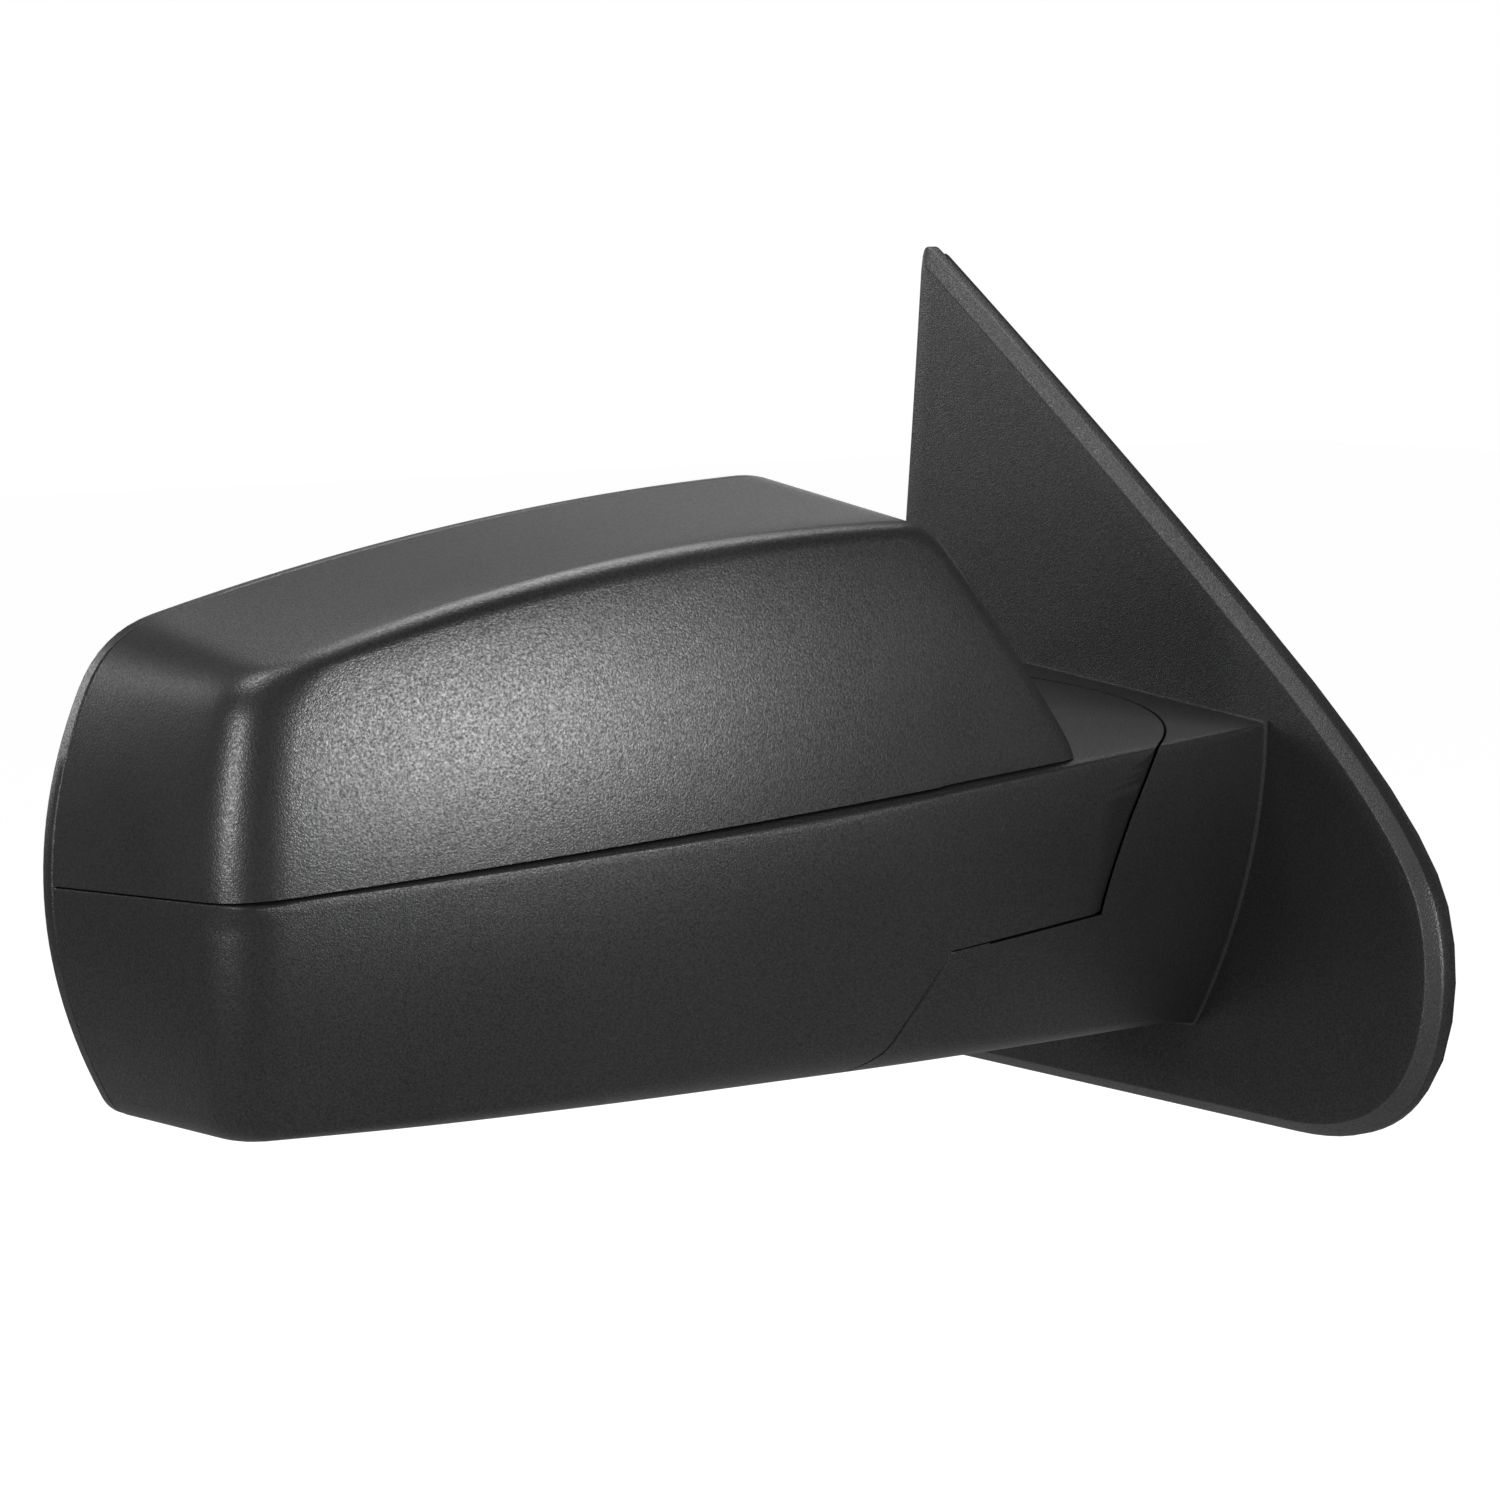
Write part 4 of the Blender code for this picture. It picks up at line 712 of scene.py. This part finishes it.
METAL_BROAD_SCALE, METAL_BUMP = 30.0, 0.0001
METAL_SMOOTHER, METAL_ROUGHER = 0.06, 0.08


def metal(name, low, high, roughness, grain, stretch, strength):
    """Bare metal with fine marks, drawn out along an axis where stretch says so."""
    mat, nodes, links, shader = new_material(name, low, roughness, 1.0)
    place = nodes.new("ShaderNodeTexCoord").outputs["Object"]
    mapping = nodes.new("ShaderNodeMapping")
    mapping.inputs["Scale"].default_value = stretch
    links.new(place, mapping.inputs["Vector"])
    marks = noise(nodes, links, mapping.outputs["Vector"], grain, 4.0, 0.6)
    broad = noise(nodes, links, place, METAL_BROAD_SCALE)
    links.new(two_colours(nodes, links, broad, low, high), shader.inputs["Base Color"])
    gloss = ramp(nodes, 0.3, 0.7, roughness - METAL_SMOOTHER, roughness + METAL_ROUGHER)
    links.new(marks, gloss.inputs["Value"])
    links.new(gloss.outputs["Result"], shader.inputs["Roughness"])
    bumped(nodes, links, shader, marks, METAL_BUMP, strength)
    return mat


def grey(level, blue=None):
    """A neutral colour, with its blue a touch higher where it is given."""
    return level, level, level if blue is None else blue


# Name, darker and lighter colour, roughness, grain's scale, bump's depth and strength, specular level.
CAP_SKIN = grained("cap_grain", grey(0.005, 0.0052), grey(0.026, 0.0265), 0.35, 1550.0, 0.00008, 0.40, 0.5)
SATIN = grained("satin_grain", grey(0.006, 0.0063), grey(0.014, 0.0144), 0.42, 1900.0, 0.00010, 0.45, 0.45)
# A lighter copy of the satin for the sail's chamfer and the collar round the foot: a painted highlight along
# these edges.
PAINTED_EDGE_HIGHLIGHT = grained(
    "sail_edge_painted_highlight", grey(0.016, 0.0165), grey(0.046, 0.047), 0.40, 2000.0, 0.00012, 0.5, 0.5)
INNER = grained("inner_plastic", grey(0.018, 0.019), grey(0.030, 0.031), 0.5, 1800.0, 0.00005, 0.3, 0.4)
FOAM = grained("foam", grey(0.012), grey(0.030), 0.92, 900.0, 0.0004, 0.9, 0.2)
RUBBER = grained("rubber", grey(0.008), grey(0.016), 0.7, 1400.0, 0.00008, 0.4, 0.3)
ACETAL = grained("acetal", (0.72, 0.70, 0.64), (0.80, 0.78, 0.72), 0.38, 700.0, 0.00003, 0.15, 0.5)
HEATER = grained("heater_film", (0.55, 0.24, 0.07), (0.66, 0.32, 0.10), 0.35, 500.0, 0.00003, 0.2, 0.5)

# Name, darker and lighter colour, roughness, marks' scale, their stretch along each axis, bump's strength.
CAST = metal("cast_aluminium", (0.50, 0.51, 0.53), (0.60, 0.61, 0.63), 0.42, 900.0, (1, 1, 1), 0.6)
STEEL = metal("plated_steel", (0.55, 0.55, 0.56), (0.66, 0.66, 0.67), 0.28, 500.0, (1, 1, 12), 0.15)
MIRROR = metal("mirror_coat", (0.80, 0.82, 0.85), (0.82, 0.84, 0.87), 0.10, 60.0, (1, 1, 1), 0.0)
MIRROR.node_tree.nodes["Principled BSDF"].inputs["Coat Weight"].default_value = 1.0


# ---------------------------------------------------------------- the pieces on their bodies

def dress(piece, mat):
    """Gives the piece this material, unless it has its own."""
    if not piece.data.materials:
        piece.data.materials.append(mat)


def add(piece, body, node, mat):
    """Sets a cover on its body in place of the CAD node."""
    dress(piece, mat)
    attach(piece, body)
    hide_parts(node)


add(mirror_cap(), "head", "mirror_cap", CAP_SKIN)
add(lower_housing(), "head", "lower_housing", SATIN)
add(rear_bezel(), "head", "rear_bezel", SATIN)
add(foot_cover(), "base", "foot_cover", SATIN)
add(mirror_glass(), "glass", "mirror_glass", MIRROR)

# The CAD nodes that show as they are, with the material that each takes.
CARRIED = {
    "base_bracket": CAST, "head_frame": CAST, "gasket": FOAM, "wire_grommet": RUBBER, "heater_pad": HEATER,
    "actuator_housing": INNER, "actuator_cover": INNER, "glass_holder": INNER}
ACETAL_NODES = (
    "thrust_washer", "hub_bush", "gimbal_ring",
    "tilt_plunger", "pan_plunger", "tilt_drive_gear", "pan_drive_gear")
STEEL_NODES = ["pivot_post", "fold_spring", "spring_retainer", "tilt_motor", "pan_motor"]
STEEL_NODES += [f"stud_{k}" for k in (1, 2, 3)]
STEEL_NODES += [f"frame_screw_{k}" for k in (1, 2, 3, 4)]
CARRIED.update({node: ACETAL for node in ACETAL_NODES})
CARRIED.update({node: STEEL for node in STEEL_NODES})
for node, mat in CARRIED.items():
    part = bpy.data.objects[node]
    for k in range(len(part.data.materials)):
        part.data.materials[k] = mat
    dress(part, mat)

for helper in set(HELPERS):
    bpy.data.objects.remove(helper, do_unlink=True)

# ---------------------------------------------------------------- studio

FLOOR_TOP, FLOOR_T, FLOOR_REACH = -0.460, 0.002, 8.0
FLOOR_GREY, FLOOR_TINTS = 0.30, (0.29, 0.31)
FLOOR_GLOW, FLOOR_SEEN_GLOW = 0.10, 0.95   # the paper's own light on the part, and as the camera sees it
WORLD_LIGHT, WORLD_SEEN = 0.12, 1.0
WHITE = (1.0, 1.0, 1.0, 1.0)


def look_at(obj, target):
    obj.rotation_euler = (Vector(target) - obj.location).to_track_quat("-Z", "Y").to_euler()


def softbox(name, where, target, width, height, power):
    light = bpy.data.lights.new(name, "AREA")
    light.shape = "RECTANGLE"
    light.size, light.size_y = width, height
    light.energy = power
    obj = bpy.data.objects.new(name, light)
    obj.visible_camera = False
    obj.location = where
    look_at(obj, target)
    bpy.context.scene.collection.objects.link(obj)


def unlike_when_seen(nodes, links, socket, usual, seen):
    """Gives the socket one value for the light it throws and another where the camera sees it directly."""
    value = ramp(nodes, 0.0, 1.0, usual, seen)
    links.new(nodes.new("ShaderNodeLightPath").outputs["Is Camera Ray"], value.inputs["Value"])
    links.new(value.outputs["Result"], socket)


def paper_floor():
    low = (-FLOOR_REACH, -FLOOR_REACH, FLOOR_TOP - FLOOR_T)
    floor = box("floor", low, (FLOOR_REACH, FLOOR_REACH, FLOOR_TOP))
    mat, nodes, links, shader = new_material("floor_paper", grey(FLOOR_GREY), 0.9, 0.0, 0.1)
    place = nodes.new("ShaderNodeTexCoord").outputs["Object"]
    tint = noise(nodes, links, place, 2.0)
    dark, light = (grey(level) for level in FLOOR_TINTS)
    links.new(two_colours(nodes, links, tint, dark, light), shader.inputs["Base Color"])
    shader.inputs["Emission Color"].default_value = WHITE
    unlike_when_seen(nodes, links, shader.inputs["Emission Strength"], FLOOR_GLOW, FLOOR_SEEN_GLOW)
    dress(floor, mat)


def white_surroundings():
    world = bpy.data.worlds.new("studio")
    world.use_nodes = True
    nodes, links = world.node_tree.nodes, world.node_tree.links
    background = nodes["Background"]
    unlike_when_seen(nodes, links, background.inputs["Strength"], WORLD_LIGHT, WORLD_SEEN)
    background.inputs["Color"].default_value = WHITE
    bpy.context.scene.world = world


def lights():
    """Each softbox has a place, the point that it faces, a width, a height and a power in watts."""
    cap = (-0.27, -0.07, 0.055)
    softbox("front_key", (-0.09, -1.30, 0.22), cap, 0.32, 0.32, 12.2)
    softbox("side_strip", (-1.70, -0.28, 0.26), (-0.36, -0.03, 0.05), 0.24, 0.55, 11.0)
    softbox("top_fill", (0.22, 0.34, 1.38), (-0.20, 0.0, 0.08), 0.8, 0.8, 9.0)
    softbox("facet_fill", (0.20, 0.78, 1.22), (-0.28, 0.0, 0.10), 0.6, 0.6, 2.6)
    softbox("edge_light", (-0.82, 0.14, 1.15), (-0.16, -0.02, 0.12), 0.4, 0.4, 5.0)
    softbox("left_rear", (-0.80, 1.50, 0.55), (-0.02, 0.0, 0.12), 0.7, 0.7, 9.0)
    softbox("back_wall", (1.60, 1.90, 0.25), (-0.15, 0.0, 0.05), 2.6, 0.9, 10.0)


CAMERA_PLACE = (-1.0113, -1.1013, 0.2153)
CAMERA_TILT, CAMERA_HEADING = math.radians(83.0), math.radians(-38.0)
LENS_MM, SENSOR_MM = 108.0, 36.0


def camera():
    cam = bpy.data.cameras.new("camera")
    cam.lens, cam.sensor_width, cam.sensor_fit = LENS_MM, SENSOR_MM, "HORIZONTAL"
    obj = bpy.data.objects.new("camera", cam)
    obj.location = CAMERA_PLACE
    obj.rotation_euler = (CAMERA_TILT, 0.0, CAMERA_HEADING)
    bpy.context.scene.collection.objects.link(obj)
    bpy.context.scene.camera = obj


paper_floor()
white_surroundings()
lights()
camera()
bpy.context.scene.view_settings.view_transform = "Standard"
